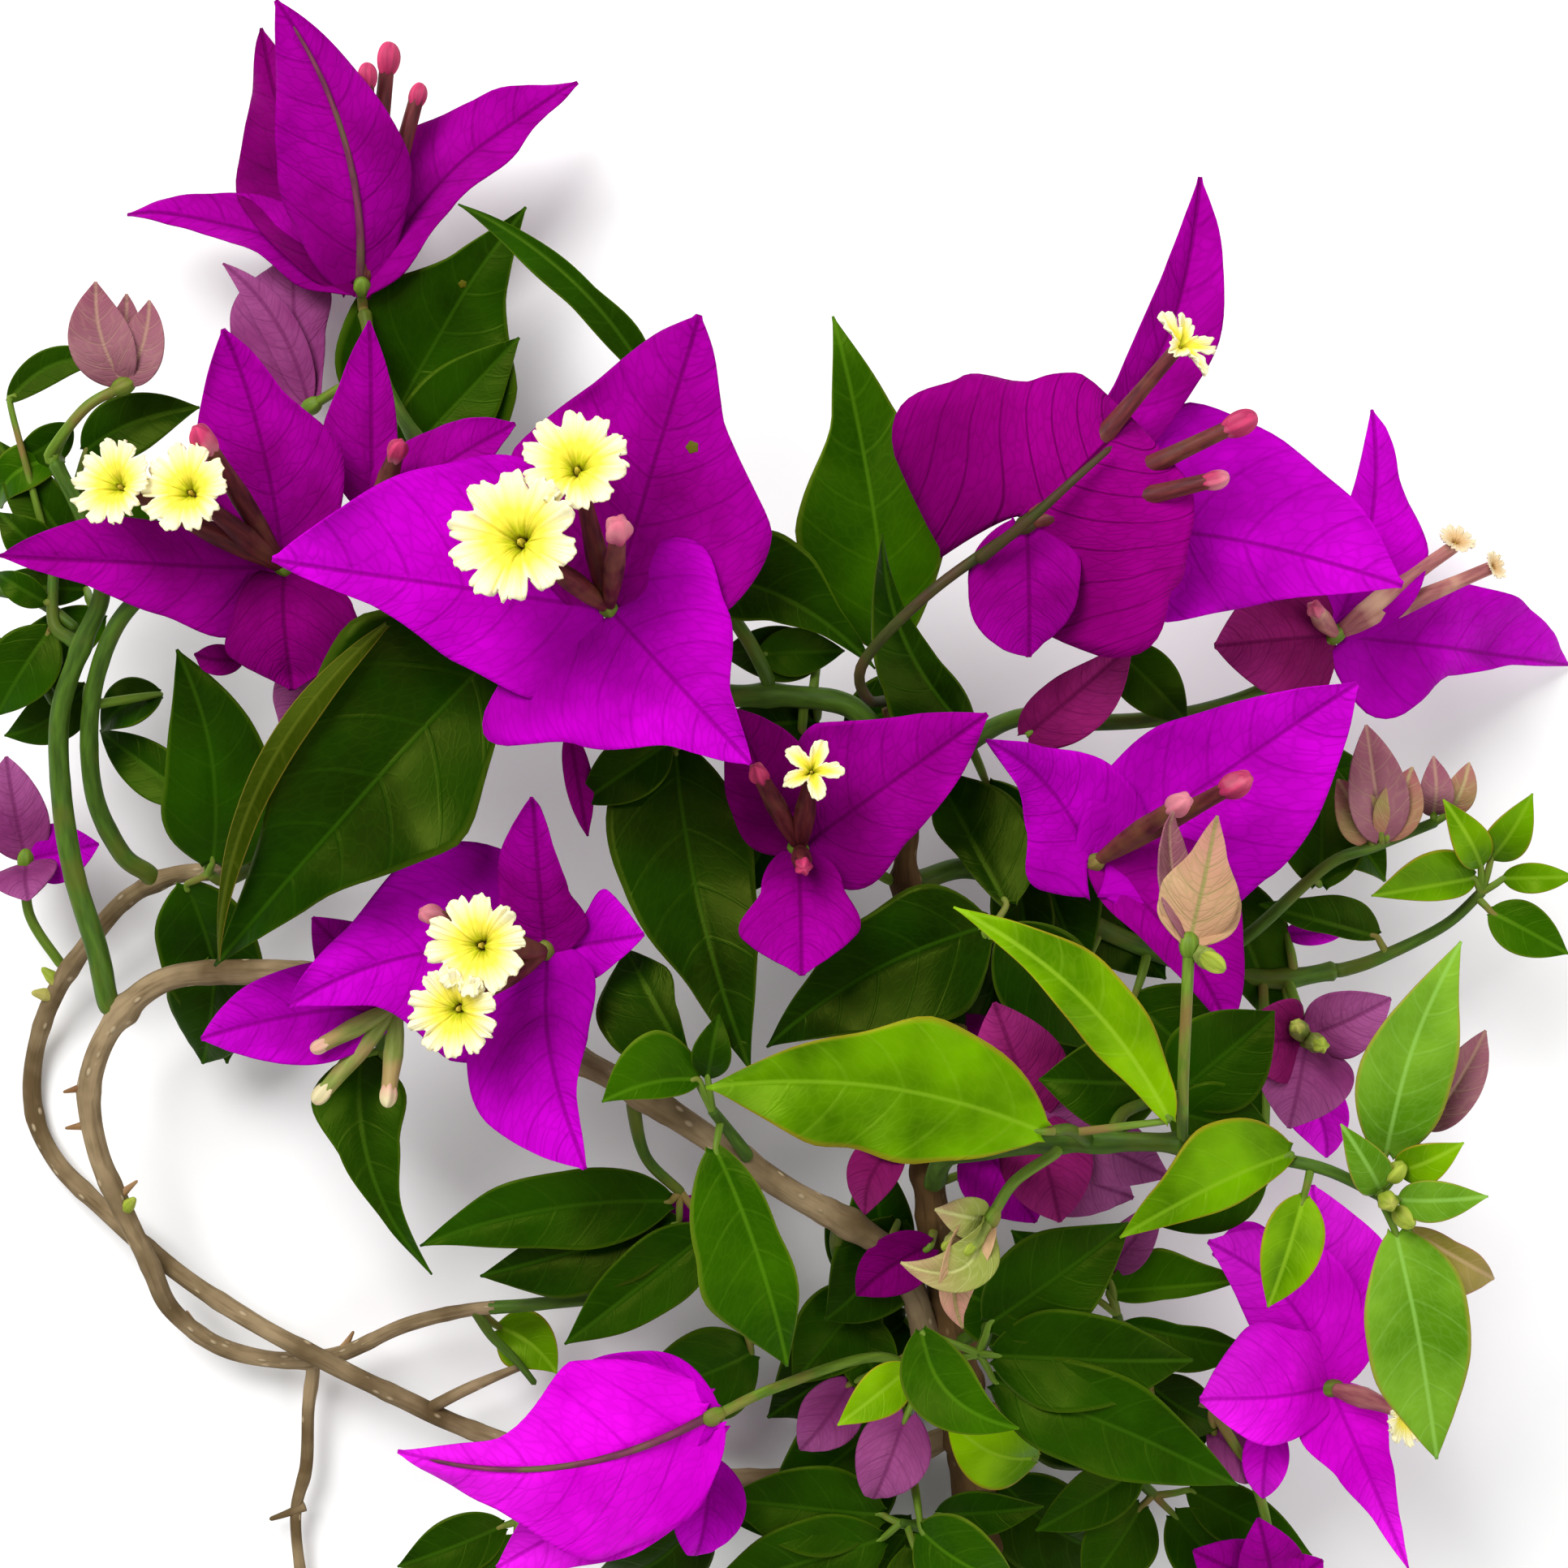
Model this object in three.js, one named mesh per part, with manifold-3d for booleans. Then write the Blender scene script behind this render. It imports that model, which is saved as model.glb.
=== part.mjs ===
// A cut, flowering bougainvillea branch, laid on its back on a level surface.
// A woody main stem with a flat cut forks into boughs and two long whips that loop round at the left.
// They carry magenta blooms of three papery bracts round slender flower tubes, and pointed oval leaves.
// Millimetres. X runs to the right and Y upward along the spray, Z up from the surface it lies on.

import * as THREE from "three";
import { mergeVertices } from "three/addons/utils/BufferGeometryUtils.js";
import Module from "manifold-3d";

const wasm = await Module();
wasm.setup();

// Sizes that drive the whole branch
const GAP = 0.35; // clearance between a stem and what carries it
const BLADE_THICKNESS = 0.7;
const BRACT_THICKNESS = 0.6;
const STALK_RADIUS = 0.75;
const PETIOLE_RADIUS = 0.6;
const RECEPTACLE_RADIUS = 1.7;
const KNOB = 1.25; // a knob of eight facets against the round one it stands for
const TUBE_RADIUS = 1.25; // a flower tube at its middle
const LIMB_SIDES = 6;
const LIMB_STEP = 9; // length of one straight stretch of a limb
const THIN_SIDES = 3;
const THIN_STEP = 12;
const TWIG_STEP = 3;

// Places are measured as seen from EYE above the surface, on a plane MID above it.
// A place lower than MID spreads out in proportion, and a higher one draws in.
const EYE = 475;
const MID = 55;
// The middle of the branch's footprint and its lowest point, moved to the origin
const FOOT = new THREE.Vector3(0.6, -7.08, 0.51);

function at([x, y, z]) {
  const spread = (EYE - z) / (EYE - MID);
  return new THREE.Vector3(x * spread, y * spread, z).sub(FOOT);
}

// Finishes
const finish = (color, roughness) => new THREE.MeshStandardMaterial({ color, roughness, metalness: 0 });
const BARK = finish(0x84704c, 0.85);
const GREEN_BARK = finish(0x4f6b12, 0.6);
const MAGENTA = finish(0xa8009e, 0.6);
const PINK = finish(0xb45a96, 0.65);
const BLUSH = finish(0xc79a8a, 0.65);
const DARK_LEAF = finish(0x26440f, 0.4);
const BRIGHT_LEAF = finish(0x55900a, 0.4);

// Solids
function solidOf(geometry) {
  geometry.deleteAttribute("normal");
  geometry.deleteAttribute("uv");
  const merged = mergeVertices(geometry, 1e-4);
  return new wasm.Manifold(
    new wasm.Mesh({
      numProp: 3,
      vertProperties: merged.attributes.position.array,
      triVerts: new Uint32Array(merged.index.array),
    }),
  );
}

function fused(solids) {
  return solids.reduce((whole, solid) => whole.add(solid));
}

function meshOf(name, solid, material) {
  const { numProp, vertProperties, triVerts } = solid.getMesh();
  const places = new Float32Array((vertProperties.length / numProp) * 3);
  for (let i = 0; i < places.length / 3; i++) {
    places.set(vertProperties.subarray(i * numProp, i * numProp + 3), i * 3);
  }
  const geometry = new THREE.BufferGeometry();
  geometry.setAttribute("position", new THREE.BufferAttribute(places, 3));
  geometry.setIndex(new THREE.BufferAttribute(new Uint32Array(triVerts), 1));
  const mesh = new THREE.Mesh(geometry, material);
  mesh.name = name;
  return mesh;
}

function lineThrough(points) {
  return new THREE.CatmullRomCurve3(points, false, "catmullrom", 0.5);
}

// Radii spaced evenly along a stem, read at a share of its length
function radiusAt(radii, share) {
  if (radii.length === 1) return radii[0];
  const place = Math.min(Math.max(share, 0), 1) * (radii.length - 1);
  const before = Math.min(Math.floor(place), radii.length - 2);
  return THREE.MathUtils.lerp(radii[before], radii[before + 1], place - before);
}

// A tapering round stem along a stretch of a curve, with flat ends
function stem(curve, radii, sides, step, [from, to] = [0, 1]) {
  const length = curve.getLength() * (to - from);
  const steps = Math.max(1, Math.round(length / step));
  const frames = curve.computeFrenetFrames(steps * 4, false);
  const geometry = new THREE.CylinderGeometry(1, 1, 1, sides, steps);
  const place = geometry.attributes.position;
  for (let i = 0; i < place.count; i++) {
    const share = from + (to - from) * (place.getY(i) + 0.5);
    const nearest = Math.round(share * steps * 4);
    const radius = radiusAt(radii, share);
    const point = curve
      .getPointAt(share)
      .addScaledVector(frames.binormals[nearest], place.getX(i) * radius)
      .addScaledVector(frames.normals[nearest], place.getZ(i) * radius);
    place.setXYZ(i, point.x, point.y, point.z);
  }
  return solidOf(geometry);
}

// The outline of a blade: round at its foot, widest before the middle, drawn out to a point
const OUTLINE = { leaf: [0.72, 1.15], bract: [0.6, 0.95] };

function halfWidth([foot, tip], u) {
  const widest = foot / (foot + tip);
  const peak = widest ** foot * (1 - widest) ** tip;
  return (u ** foot * (1 - u) ** tip) / peak / 2;
}

const EDGE = 0.25; // least half width of a blade

// Shares of a blade's length at which the half widths of its two sides may be given
const STATIONS = [0.12, 0.4, 0.7];

// The half width of one side at a share of the length. Given widths draw the plain outline in or out.
function sideWidth(shape, width, side, u) {
  const plain = width * halfWidth(shape, Math.min(Math.max(u, 0.02), 0.985));
  if (!side) return plain + EDGE;
  const last = STATIONS.length - 1;
  const after = Math.min(Math.max(STATIONS.findIndex((station) => station >= u), 0), last) || (u > 0.5 ? last : 0);
  const before = Math.max(after - 1, 0);
  const ratio = (i) => side[i] / (width * halfWidth(shape, STATIONS[i]));
  const span = STATIONS[after] - STATIONS[before] || 1;
  const share = THREE.MathUtils.clamp((u - STATIONS[before]) / span, 0, 1);
  return plain * THREE.MathUtils.lerp(ratio(before), ratio(after), share) + EDGE;
}

// A leaf or bract: a thin blade whose midrib bends from foot to tip.
// It lies level and faces up unless roll turns it about the line from foot to tip.
// bow lifts its middle off that line and sway moves it sideways, fold raises both edges,
// twist turns the tip about the midrib, and lobe draws the edges at the foot backward.
// sides gives the half widths at the stations, first of the side on the left as it points away.
// A leaf has a stalk as well, from its root on the twig to its foot.
const LOBE = { leaf: 0.06, bract: 0.12 };

function blade(kind, foot, tip, width, options = {}, root = null) {
  const { roll = 0, fold = 8, bow = 2, sway = 0, twist = 0, lobe = LOBE[kind], shape = OUTLINE[kind], sides } = options;
  const radians = THREE.MathUtils.degToRad;
  const thickness = kind === "leaf" ? BLADE_THICKNESS : BRACT_THICKNESS;
  const shares = sides ? [0, ...STATIONS, 1] : width > 16 ? [0, 0.25, 0.5, 0.75, 1] : [0, 1 / 3, 2 / 3, 1];
  const rows = shares.length - 1;
  const columns = width > 10 || sides ? 2 : 1;
  const stalkRows = root ? 1 : 0;
  const chord = tip.clone().sub(foot).normalize();
  const across = new THREE.Vector3(-chord.y, chord.x, 0).normalize().applyAxisAngle(chord, radians(roll));
  const up = chord.clone().cross(across);
  const knee = foot.clone().lerp(tip, 0.5).addScaledVector(up, 2 * bow).addScaledVector(across, 2 * sway);
  const midrib = new THREE.QuadraticBezierCurve3(foot, knee, tip);
  const geometry = new THREE.BoxGeometry(2, 1, 1, columns, 1, rows + stalkRows);
  const place = geometry.attributes.position;
  for (let i = 0; i < place.count; i++) {
    const row = Math.round((place.getZ(i) + 0.5) * (rows + stalkRows)) - stalkRows;
    const u = shares[Math.max(row, 0)];
    const v = place.getX(i);
    const along = midrib.getTangent(u);
    const side = across.clone().addScaledVector(along, -across.dot(along)).normalize();
    side.applyAxisAngle(along, radians(twist * u));
    const face = along.clone().cross(side);
    const point = new THREE.Vector3();
    if (root && row <= 0) {
      const stalk = foot.clone().sub(root).normalize();
      const heading = row < 0 ? stalk : stalk.add(along).normalize();
      const turn = new THREE.Quaternion().setFromUnitVectors(along, heading);
      point
        .copy(row < 0 ? root : foot)
        .addScaledVector(side.applyQuaternion(turn), PETIOLE_RADIUS * v)
        .addScaledVector(face.applyQuaternion(turn), place.getY(i) * 2 * PETIOLE_RADIUS);
    } else {
      const half = sideWidth(shape, width, sides && sides[v < 0 ? 1 : 0], u);
      point
        .copy(midrib.getPoint(u))
        .addScaledVector(side, half * v * Math.cos(radians(fold)))
        .addScaledVector(face, half * Math.abs(v) * Math.sin(radians(fold)) + place.getY(i) * thickness)
        .addScaledVector(along, -lobe * width * v * v * (1 - u) ** 4);
    }
    place.setXYZ(i, point.x, point.y, point.z);
  }
  return solidOf(geometry);
}

// A slender flower tube from the heart of a bloom to its open star, or to a closed knob
function flower(heart, tip, star, facing) {
  const lean = tip.clone().sub(heart).normalize();
  const middle = heart.clone().lerp(tip, 0.5).addScaledVector(new THREE.Vector3(0, 0, -1), 1);
  const tube = lineThrough([heart, middle, tip]);
  const parts = [stem(tube, [0.8, TUBE_RADIUS, 1.0], THIN_SIDES, THIN_STEP)];
  const turn = (geometry, direction) =>
    geometry
      .applyQuaternion(new THREE.Quaternion().setFromUnitVectors(new THREE.Vector3(0, 1, 0), direction))
      .translate(tip.x, tip.y, tip.z);
  if (star > 0) {
    const cup = new THREE.CylinderGeometry(star / 2, star / 4, star * 0.12, 8, 1);
    const direction = facing ? new THREE.Vector3(...facing) : lean.clone().add(new THREE.Vector3(0, 0, 1.2));
    parts.push(solidOf(turn(cup, direction.normalize())));
  } else {
    const knob = new THREE.OctahedronGeometry(-star * KNOB).scale(0.9, 1.2, 0.9);
    parts.push(solidOf(turn(knob, lean)));
  }
  return parts;
}

// Limbs. Each is one smooth curve, and a long whip is several pieces of it, split at its bends.
// A path's first point lies on the limb that carries it.
const LIMBS = {
  trunk: {
    names: ["main_stem", "centre_bough"],
    splits: [0.3],
    radii: [3.4, 2.9, 2.4, 1.9, 1.5, 1.3],
    material: BARK,
    path: [
      [23.9, -106, 3.8], [23.9, -94, 6], [22.9, -83.4, 9], [21.4, -71.5, 14], [18.4, -53.4, 24],
      [16.4, -33.4, 32], [14.9, -13.4, 36], [15.4, 0.6, 40], [13.6, 9.5, 42],
    ],
  },
  left_whip: {
    names: ["left_bough", "left_bough_bend", "left_bough_return", "left_green_tip"],
    splits: [0.4, 0.6, 0.83],
    radii: [2.1, 1.9, 1.9, 1.8, 1.4, 1.05, 0.8],
    material: BARK,
    on: "trunk",
    path: [
      [20.9, -68.5, 16], [13.4, -58.2, 24], [-0.6, -49.4, 31], [-13.6, -40.9, 34], [-24.6, -34.4, 34],
      [-40.6, -27.6, 31], [-56.6, -23.7, 27], [-66.6, -23.2, 25], [-76.2, -24.2, 23.5], [-82.6, -29.4, 22],
      [-85.6, -37, 20], [-84.6, -45, 18], [-81.4, -52.6, 16], [-78.2, -59.2, 14], [-75.6, -64.6, 10.5],
      [-69.6, -69.2, 7.5], [-61.6, -71, 6.5], [-54.6, -70.2, 8.5], [-46.6, -66.7, 13], [-39, -64.8, 16],
      [-31.6, -64.2, 18], [-20.6, -63, 20], [-10.6, -60.9, 21], [-1.6, -58.9, 21],
    ],
  },
  outer_whip: {
    names: ["outer_bough", "outer_bough_bend", "outer_bough_tip"],
    splits: [0.42, 0.75],
    radii: [1.9, 1.7, 1.6, 1.5, 1.5, 1.5, 1.3],
    material: BARK,
    on: "trunk",
    path: [
      [22.6, -80.5, 10], [12, -84, 8], [-2, -85.6, 6], [-16, -85.2, 6], [-29.6, -82.6, 7],
      [-39.6, -79.2, 9], [-46.6, -75.9, 11], [-54.6, -72, 12.2], [-62.6, -67.9, 13], [-70.4, -63.2, 12.5],
      [-77.4, -58, 10], [-84, -52.2, 6], [-89.6, -46.6, 3], [-92.4, -40.4, 1.9], [-92.2, -33, 3],
      [-89.6, -25.4, 7], [-85.6, -19.4, 12.5], [-81.2, -14.4, 16], [-75.6, -11.4, 18], [-68.6, -10.6, 19],
      [-61.6, -9.6, 20], [-54.6, -6.8, 21],
    ],
  },
  green_shoot_outer: {
    names: ["green_shoot_outer"],
    splits: [],
    radii: [1.5, 1.4, 1.2, 0.9],
    material: GREEN_BARK,
    on: "left_whip",
    path: [
      [-81.8, -28, 22.5], [-84.6, -20.6, 24.5], [-87.4, -11.4, 26], [-89, -1.4, 28], [-89.2, 8.6, 32],
      [-86.6, 17, 36], [-84, 24, 38], [-86, 32, 39], [-90, 40, 40],
    ],
  },
  green_shoot_inner: {
    names: ["green_shoot_inner"],
    splits: [],
    radii: [1.3, 1.2, 1.1, 1.0],
    material: GREEN_BARK,
    on: "outer_whip",
    path: [
      [-77.6, -12.4, 17.5], [-81.6, -8.6, 21], [-84.8, -2, 25], [-85.6, 6, 30], [-84.6, 13.6, 34.5],
      [-81.6, 20.6, 40], [-76, 25.2, 43], [-69, 25.6, 44],
    ],
  },
  upper_left_bough: {
    names: ["upper_left_bough"],
    splits: [],
    radii: [1.5, 1.4, 1.2, 1.0, 0.8],
    material: GREEN_BARK,
    on: "trunk",
    path: [
      [14.6, 5, 41], [8, 9.6, 42], [0, 10.9, 42], [-9, 11.2, 42], [-18.6, 15.4, 42],
      [-28.6, 23.2, 40], [-38, 33, 36], [-45, 42, 30], [-50, 51, 23.4], [-51.8, 58.5, 20],
    ],
  },
  right_top_bough: {
    names: ["right_top_bough"],
    splits: [],
    radii: [1.3, 1.1, 0.8],
    material: GREEN_BARK,
    on: "trunk",
    path: [
      [15.6, -1, 39.4], [21.4, 4, 38], [29, 8.2, 35], [38.4, 7.6, 32], [48.4, 8.4, 30], [58.4, 11.4, 29],
      [65.4, 16.4, 29],
    ],
  },
  upper_right_bough: {
    names: ["upper_right_bough"],
    splits: [],
    radii: [1.4, 1.3, 1.2],
    material: GREEN_BARK,
    on: "trunk",
    path: [
      [15, -12, 36], [22.4, -10.4, 33], [29.4, -12.4, 30], [37.4, -17, 27], [48.4, -21.6, 23],
      [59.4, -24, 21], [68.4, -22.9, 21],
    ],
  },
  right_bough: {
    names: ["right_bough"],
    splits: [],
    radii: [1.4, 1.3, 1.1],
    material: GREEN_BARK,
    on: "trunk",
    path: [
      [17.8, -48, 27], [20, -46, 38], [25, -45, 50], [33, -44.2, 60], [43.4, -44.1, 66], [49.6, -44.3, 67],
    ],
  },
  lower_right_bough: {
    names: ["lower_right_bough"],
    splits: [],
    radii: [1.5, 1.2, 0.9],
    material: BARK,
    on: "trunk",
    path: [[22.4, -77, 11.5], [30, -77.8, 17], [40.4, -76.9, 23], [51.4, -76, 27], [57, -76.6, 28.5]],
  },
  dead_twig: {
    names: ["dead_twig"],
    splits: [],
    radii: [1.1, 1.0, 0.8],
    material: BARK,
    on: "left_whip",
    path: [[-58.2, -70.9, 7], [-58.6, -77, 5.5], [-58.9, -84, 5], [-60.2, -90.4, 4], [-59.2, -100.5, 3]],
  },
};

// The curve of a stem that grows from another: it leaves squarely, GAP clear of its carrier
const SAMPLES = 400;

function nearest(line, point) {
  let share = 0;
  let least = Infinity;
  for (let i = 0; i <= SAMPLES; i++) {
    const away = line.getPointAt(i / SAMPLES).distanceTo(point);
    if (away < least) [least, share] = [away, i / SAMPLES];
  }
  return share;
}

function growFrom(carrier, points) {
  const line = carrier.curve;
  const share = nearest(line, points[0]);
  const centre = line.getPointAt(share);
  const along = line.getTangentAt(share);
  const out = points[1].clone().sub(centre);
  if (share > 0.995 && out.dot(along) > 0) {
    out.copy(along);
    centre.addScaledVector(along, GAP);
  } else {
    out.addScaledVector(along, -out.dot(along)).normalize();
    centre.addScaledVector(out, radiusAt(carrier.radii, share) + GAP);
  }
  return lineThrough([centre, centre.clone().addScaledVector(out, 0.8), ...points.slice(1)]);
}

// Blooms. heart is the knob where the bracts and flower tubes meet, and stalk runs to it from its carrier.
// A bract is its tip, width and bends. A flower is its tip and the breadth of its star, or less than 0
// for a closed knob of that radius, and where the star faces.
const TAPERED = [0.8, 0.9]; // a bract drawn in at both ends
const BLOOMS = {
  bloom_top_left: {
    on: "upper_left_bough",
    heart: [-52, 61.2, 22],
    stalk: [[-51.8, 58.5, 20.5]],
    material: MAGENTA,
    bracts: [
      [[-62.6, 96.6, 33], 23, { sway: -3.5, bow: 2, fold: -12, sides: [[7, 10, 7], [4.6, 7.7, 4.4]] }],
      [[-25.4, 86.4, 16], 18, { roll: -20, bow: 1, sway: 3, sides: [[5, 10, 5], [4, 4.5, 4.3]] }],
      [[-80.9, 70.1, 14], 13, { roll: 20, bow: 1, sway: -3, sides: [[4, 3.4, 2.4], [4, 5, 3.6]] }],
      [[-64.4, 93.1, 1.4], 17, { sway: 2, bow: 0, roll: 10, sides: [[6, 9.6, 3.8], [5, 6, 4]] }],
    ],
    flowers: [[[-48.8, 89.6, 24], -1.8], [[-51.4, 87.4, 27], -1.5], [[-45.1, 85.1, 22], -1.4]],
  },
  bloom_mauve_left: {
    on: "upper_left_bough",
    heart: [-58.2, 46.6, 17],
    stalk: [[-49.6, 50, 24], [-54, 49, 20]],
    material: PINK,
    bracts: [
      [[-60, 66, 13], 15, { bow: 1, sway: 1, sides: [[3, 8.5, 7], [2, 3.8, 4.8]] }],
      [[-69.1, 64.1, 14], 5, { sway: -2 }],
    ],
    flowers: [],
  },
  bloom_left: {
    on: "upper_left_bough",
    heart: [-61.6, 26.6, 44],
    stalk: [[-31, 25.4, 39], [-42, 20, 35], [-54, 20, 37]],
    material: MAGENTA,
    bracts: [
      [[-69.1, 56.1, 50], 19, { sway: -1, bow: -1, sides: [[4, 8, 6.4], [6.6, 9.8, 4.4]] }],
      [[-96.6, 28.1, 46], 16, { bow: 2, roll: -10, sides: [[8, 6.6, 2.6], [4, 5.5, 5.4]] }],
      [[-60.6, 11.6, 46], 16, { bow: 3, sides: [[5, 8.6, 8.6], [4, 6, 7]] }],
    ],
    flowers: [[[-73.4, 36.1, 60], 11.4], [[-82.2, 36.8, 58], 11], [[-71.6, 42.6, 60], -1.8]],
  },
  bloom_left_rear: {
    on: "upper_left_bough",
    heart: [-50.6, 33.6, 40],
    stalk: [[-42, 37.2, 33]],
    material: MAGENTA,
    bracts: [
      [[-51.1, 57.1, 40], 12, { bow: 0, sides: [[4, 6.2, 3.4], [3, 3.2, 2.3]] }],
      [[-33.1, 44.4, 46], 11, { bow: 1, roll: -20 }],
    ],
    flowers: [[[-47.6, 41.2, 48], -1.5]],
  },
  bloom_centre: {
    on: "upper_left_bough",
    heart: [-21.6, 21.6, 58],
    stalk: [[-19, 15.8, 42], [-20, 19, 52]],
    material: MAGENTA,
    bracts: [
      [[-63.1, 27.6, 68], 27, { bow: -1, fold: 4, sides: [[11, 9.1, 3.4], [12, 16.3, 11.1]] }],
      [[-10.4, 57.8, 68], 28, { bow: -1, fold: 6, sides: [[11, 16.4, 9.4], [13, 16, 6.4]] }],
      [[-4.1, 2.5, 66], 29, { bow: 1, lobe: 0.2, sides: [[12, 11, 4], [19.5, 14.6, 5.6]] }],
    ],
    flowers: [[[-32.8, 30.1, 76], 16], [[-25.6, 39.1, 74], 13], [[-20.4, 31.4, 76], -1.9]],
  },
  bloom_mid_left: {
    on: "left_whip",
    heart: [-29.4, -20.6, 42],
    stalk: [[-26.5, -33.5, 34], [-28.4, -26, 38]],
    material: MAGENTA,
    bracts: [
      [[-61.1, -27.4, 43], 28, { bow: 0, sway: -3, sides: [[12, 14, 4.5], [11, 13, 5.4]] }],
      [[-31.1, -1.6, 52], 15, { bow: 0, sides: [[5, 5, 4], [5.4, 3.7, 2]] }],
      [[-24.4, -47.4, 50], 20, { bow: 3, sway: -1.5, sides: [[6, 5, 2], [8, 10.4, 9.2]] }],
      [[-17.2, -18.6, 44], 10, { bow: 0, sides: [[2, 3.5, 6.5], [2, 4.4, 2.6]] }],
    ],
    flowers: [[[-37.6, -19.9, 60], 12.8], [[-40.4, -27.9, 59], 11.6], [[-43.6, -16.1, 56], -1.5]],
  },
  bloom_mid_left_rear: {
    on: "left_whip",
    heart: [-47.6, -27.2, 35],
    stalk: [[-42, -27.2, 30.6]],
    material: MAGENTA,
    bracts: [
      [[-71.8, -31.4, 34], 13, { bow: 2, sway: -1 }],
      [[-58.1, -16.4, 36], 10, { bow: 0 }],
    ],
    flowers: [[[-57.1, -38.4, 38], -1.3], [[-48.8, -38.6, 37], -1.3], [[-57.4, -32.4, 40], -1.1]],
  },
  bloom_right: {
    on: "trunk",
    heart: [29.9, 32.1, 60],
    stalk: [[13.6, 9.5, 42], [10.4, 10.4, 48], [9.8, 15, 54], [18, 23.6, 59]],
    material: MAGENTA,
    bracts: [
      [[42.8, 45.1, 60], 36, { bow: 4, fold: -8, lobe: 0.3, shape: [0.6, 0.5], sides: [[17, 18, 12], [13, 16.3, 15]] }],
      [[76.2, 24.4, 54], 30, { bow: -2, sway: 2.5, sides: [[12, 16, 12], [15, 11.4, 6]] }],
      [[51.2, 74.8, 50], 11, { bow: -2, fold: 30, roll: 10, sway: -6, sides: [[3, 4.2, 4.6], [3, 5.2, 6]] }],
      [[30.2, 15.7, 52], 15, { bow: 1, sides: [[5, 6, 4], [5.5, 7.6, 6]] }],
    ],
    flowers: [[[49, 54, 66], 9, [1, 0.8, 1]], [[56.4, 44.6, 64], -1.8], [[53.4, 37.6, 66], -1.4]],
  },
  bloom_mid_right: {
    on: "upper_right_bough",
    heart: [38.4, -9.6, 42],
    stalk: [[30.4, -13, 29.5], [35, -11.4, 36]],
    material: MAGENTA,
    bracts: [
      [[70.6, 12.4, 50], 28, { bow: -2, sides: [[7, 9.6, 5.8], [13, 14, 10]] }],
      [[24.9, 5.4, 50], 17, { bow: -1, sway: -2, lobe: 0.3, sides: [[8, 5.8, 2.6], [7, 7.8, 3]] }],
      [[54.9, -30.4, 47], 17, { bow: 0, sway: 2, sides: [[7, 11, 6.3], [3, 3.4, 2.4]] }],
    ],
    flowers: [[[48.8, -2.4, 58], -1.7], [[55.9, 0.1, 58], -1.9]],
  },
  bud_bloom_front: {
    on: "right_bough",
    heart: [49.9, -19.9, 80],
    stalk: [[49, -44.2, 67], [49.2, -36, 75], [49.6, -27, 79]],
    material: BLUSH,
    bracts: [
      [[53.4, -3.9, 83], 10.5, { bow: 1, fold: -14 }],
      [[47.9, -3.4, 78], 6, { bow: -1, roll: 40 }],
      [[52.6, -5.4, 77], 10, { bow: -1 }],
    ],
    flowers: [[[53.2, -22.2, 82], -1.3]],
  },
  bloom_small_centre: {
    on: "trunk",
    heart: [1.9, -7.9, 44],
    stalk: [[15, -11.4, 36.5], [8, -9, 41]],
    material: MAGENTA,
    bracts: [
      [[25.1, 8.6, 54], 21, { bow: 1, sides: [[8, 11.3, 6], [8, 7.2, 4.8]] }],
      [[-6.6, 9.4, 52], 13, { bow: -1, sides: [[5, 5.7, 3.5], [5, 6, 5]] }],
      [[2.2, -23.6, 55], 15, { bow: 1, sides: [[3, 5.3, 7], [3, 4.8, 7.6]] }],
    ],
    flowers: [[[3.4, 1.6, 58], 7.6], [[-3.2, 1.4, 58], -1.4], [[2.4, -10.2, 56], -1.3]],
  },
  bloom_far_right: {
    on: "right_top_bough",
    heart: [67.9, 18.4, 29],
    stalk: [[65.4, 16.4, 27]],
    material: MAGENTA,
    bracts: [
      [[72.4, 46.1, 24], 13, { bow: 2, sway: -2, sides: [[4, 4, 2.4], [6, 8, 3]] }],
      [[96.6, 14.6, 1.4], 18, { bow: 3, sides: [[5, 8.7, 7], [10, 3.6, 1]] }],
      [[53, 17, 34], 14, { bow: 2, sides: [[6, 6.6, 6.6], [6, 6.6, 6.6]] }],
    ],
    flowers: [[[82.8, 29.8, 32], 5, [0.3, 1, 1]], [[87.4, 26.8, 30], 4, [1, 0.5, 1]], [[65.4, 21.6, 39], -1.3]],
  },
  bloom_low_left: {
    on: "trunk",
    heart: [-8.6, -77.9, 38],
    stalk: [[22, -74, 13], [12, -70.6, 24], [-0.6, -74.2, 33]],
    material: MAGENTA,
    bracts: [
      [[-47.6, -82.2, 40], 23, { bow: 4, fold: -16, sway: 3.5, sides: [[10, 14, 5.5], [9, 12.7, 3.7]] }],
      [[-35.4, -96.6, 32], 16, { bow: -1, sway: 1 }],
      [[-27.6, -74, 29], 14, { bow: 1 }],
    ],
    flowers: [],
  },
  bloom_low_right: {
    on: "lower_right_bough",
    heart: [67.4, -74.4, 31],
    stalk: [[57, -76.6, 28.5]],
    material: MAGENTA,
    bracts: [
      [[76.9, -96.6, 32], 13, { bow: 1, sides: [[5, 3.5, 1.6], [6, 4, 1.6]] }],
      [[51.2, -75.9, 38], 17, { bow: 2, sides: [[4, 6, 5], [6, 8.6, 9]] }],
      [[52.2, -56.4, 34], 14, { bow: 2, sway: -3, fold: 0, sides: [[4, 6, 4.6], [5, 8, 7]] }],
      [[65, -49.4, 30], 11, { bow: 2, sides: [[4, 4, 4], [5, 6.3, 7.8]] }],
    ],
    flowers: [[[76.4, -77.4, 42], 8.5, [0.8, -0.1, 1]]],
  },
  bloom_pink_right: {
    on: "upper_right_bough",
    heart: [64.4, -31.4, 34],
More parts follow.
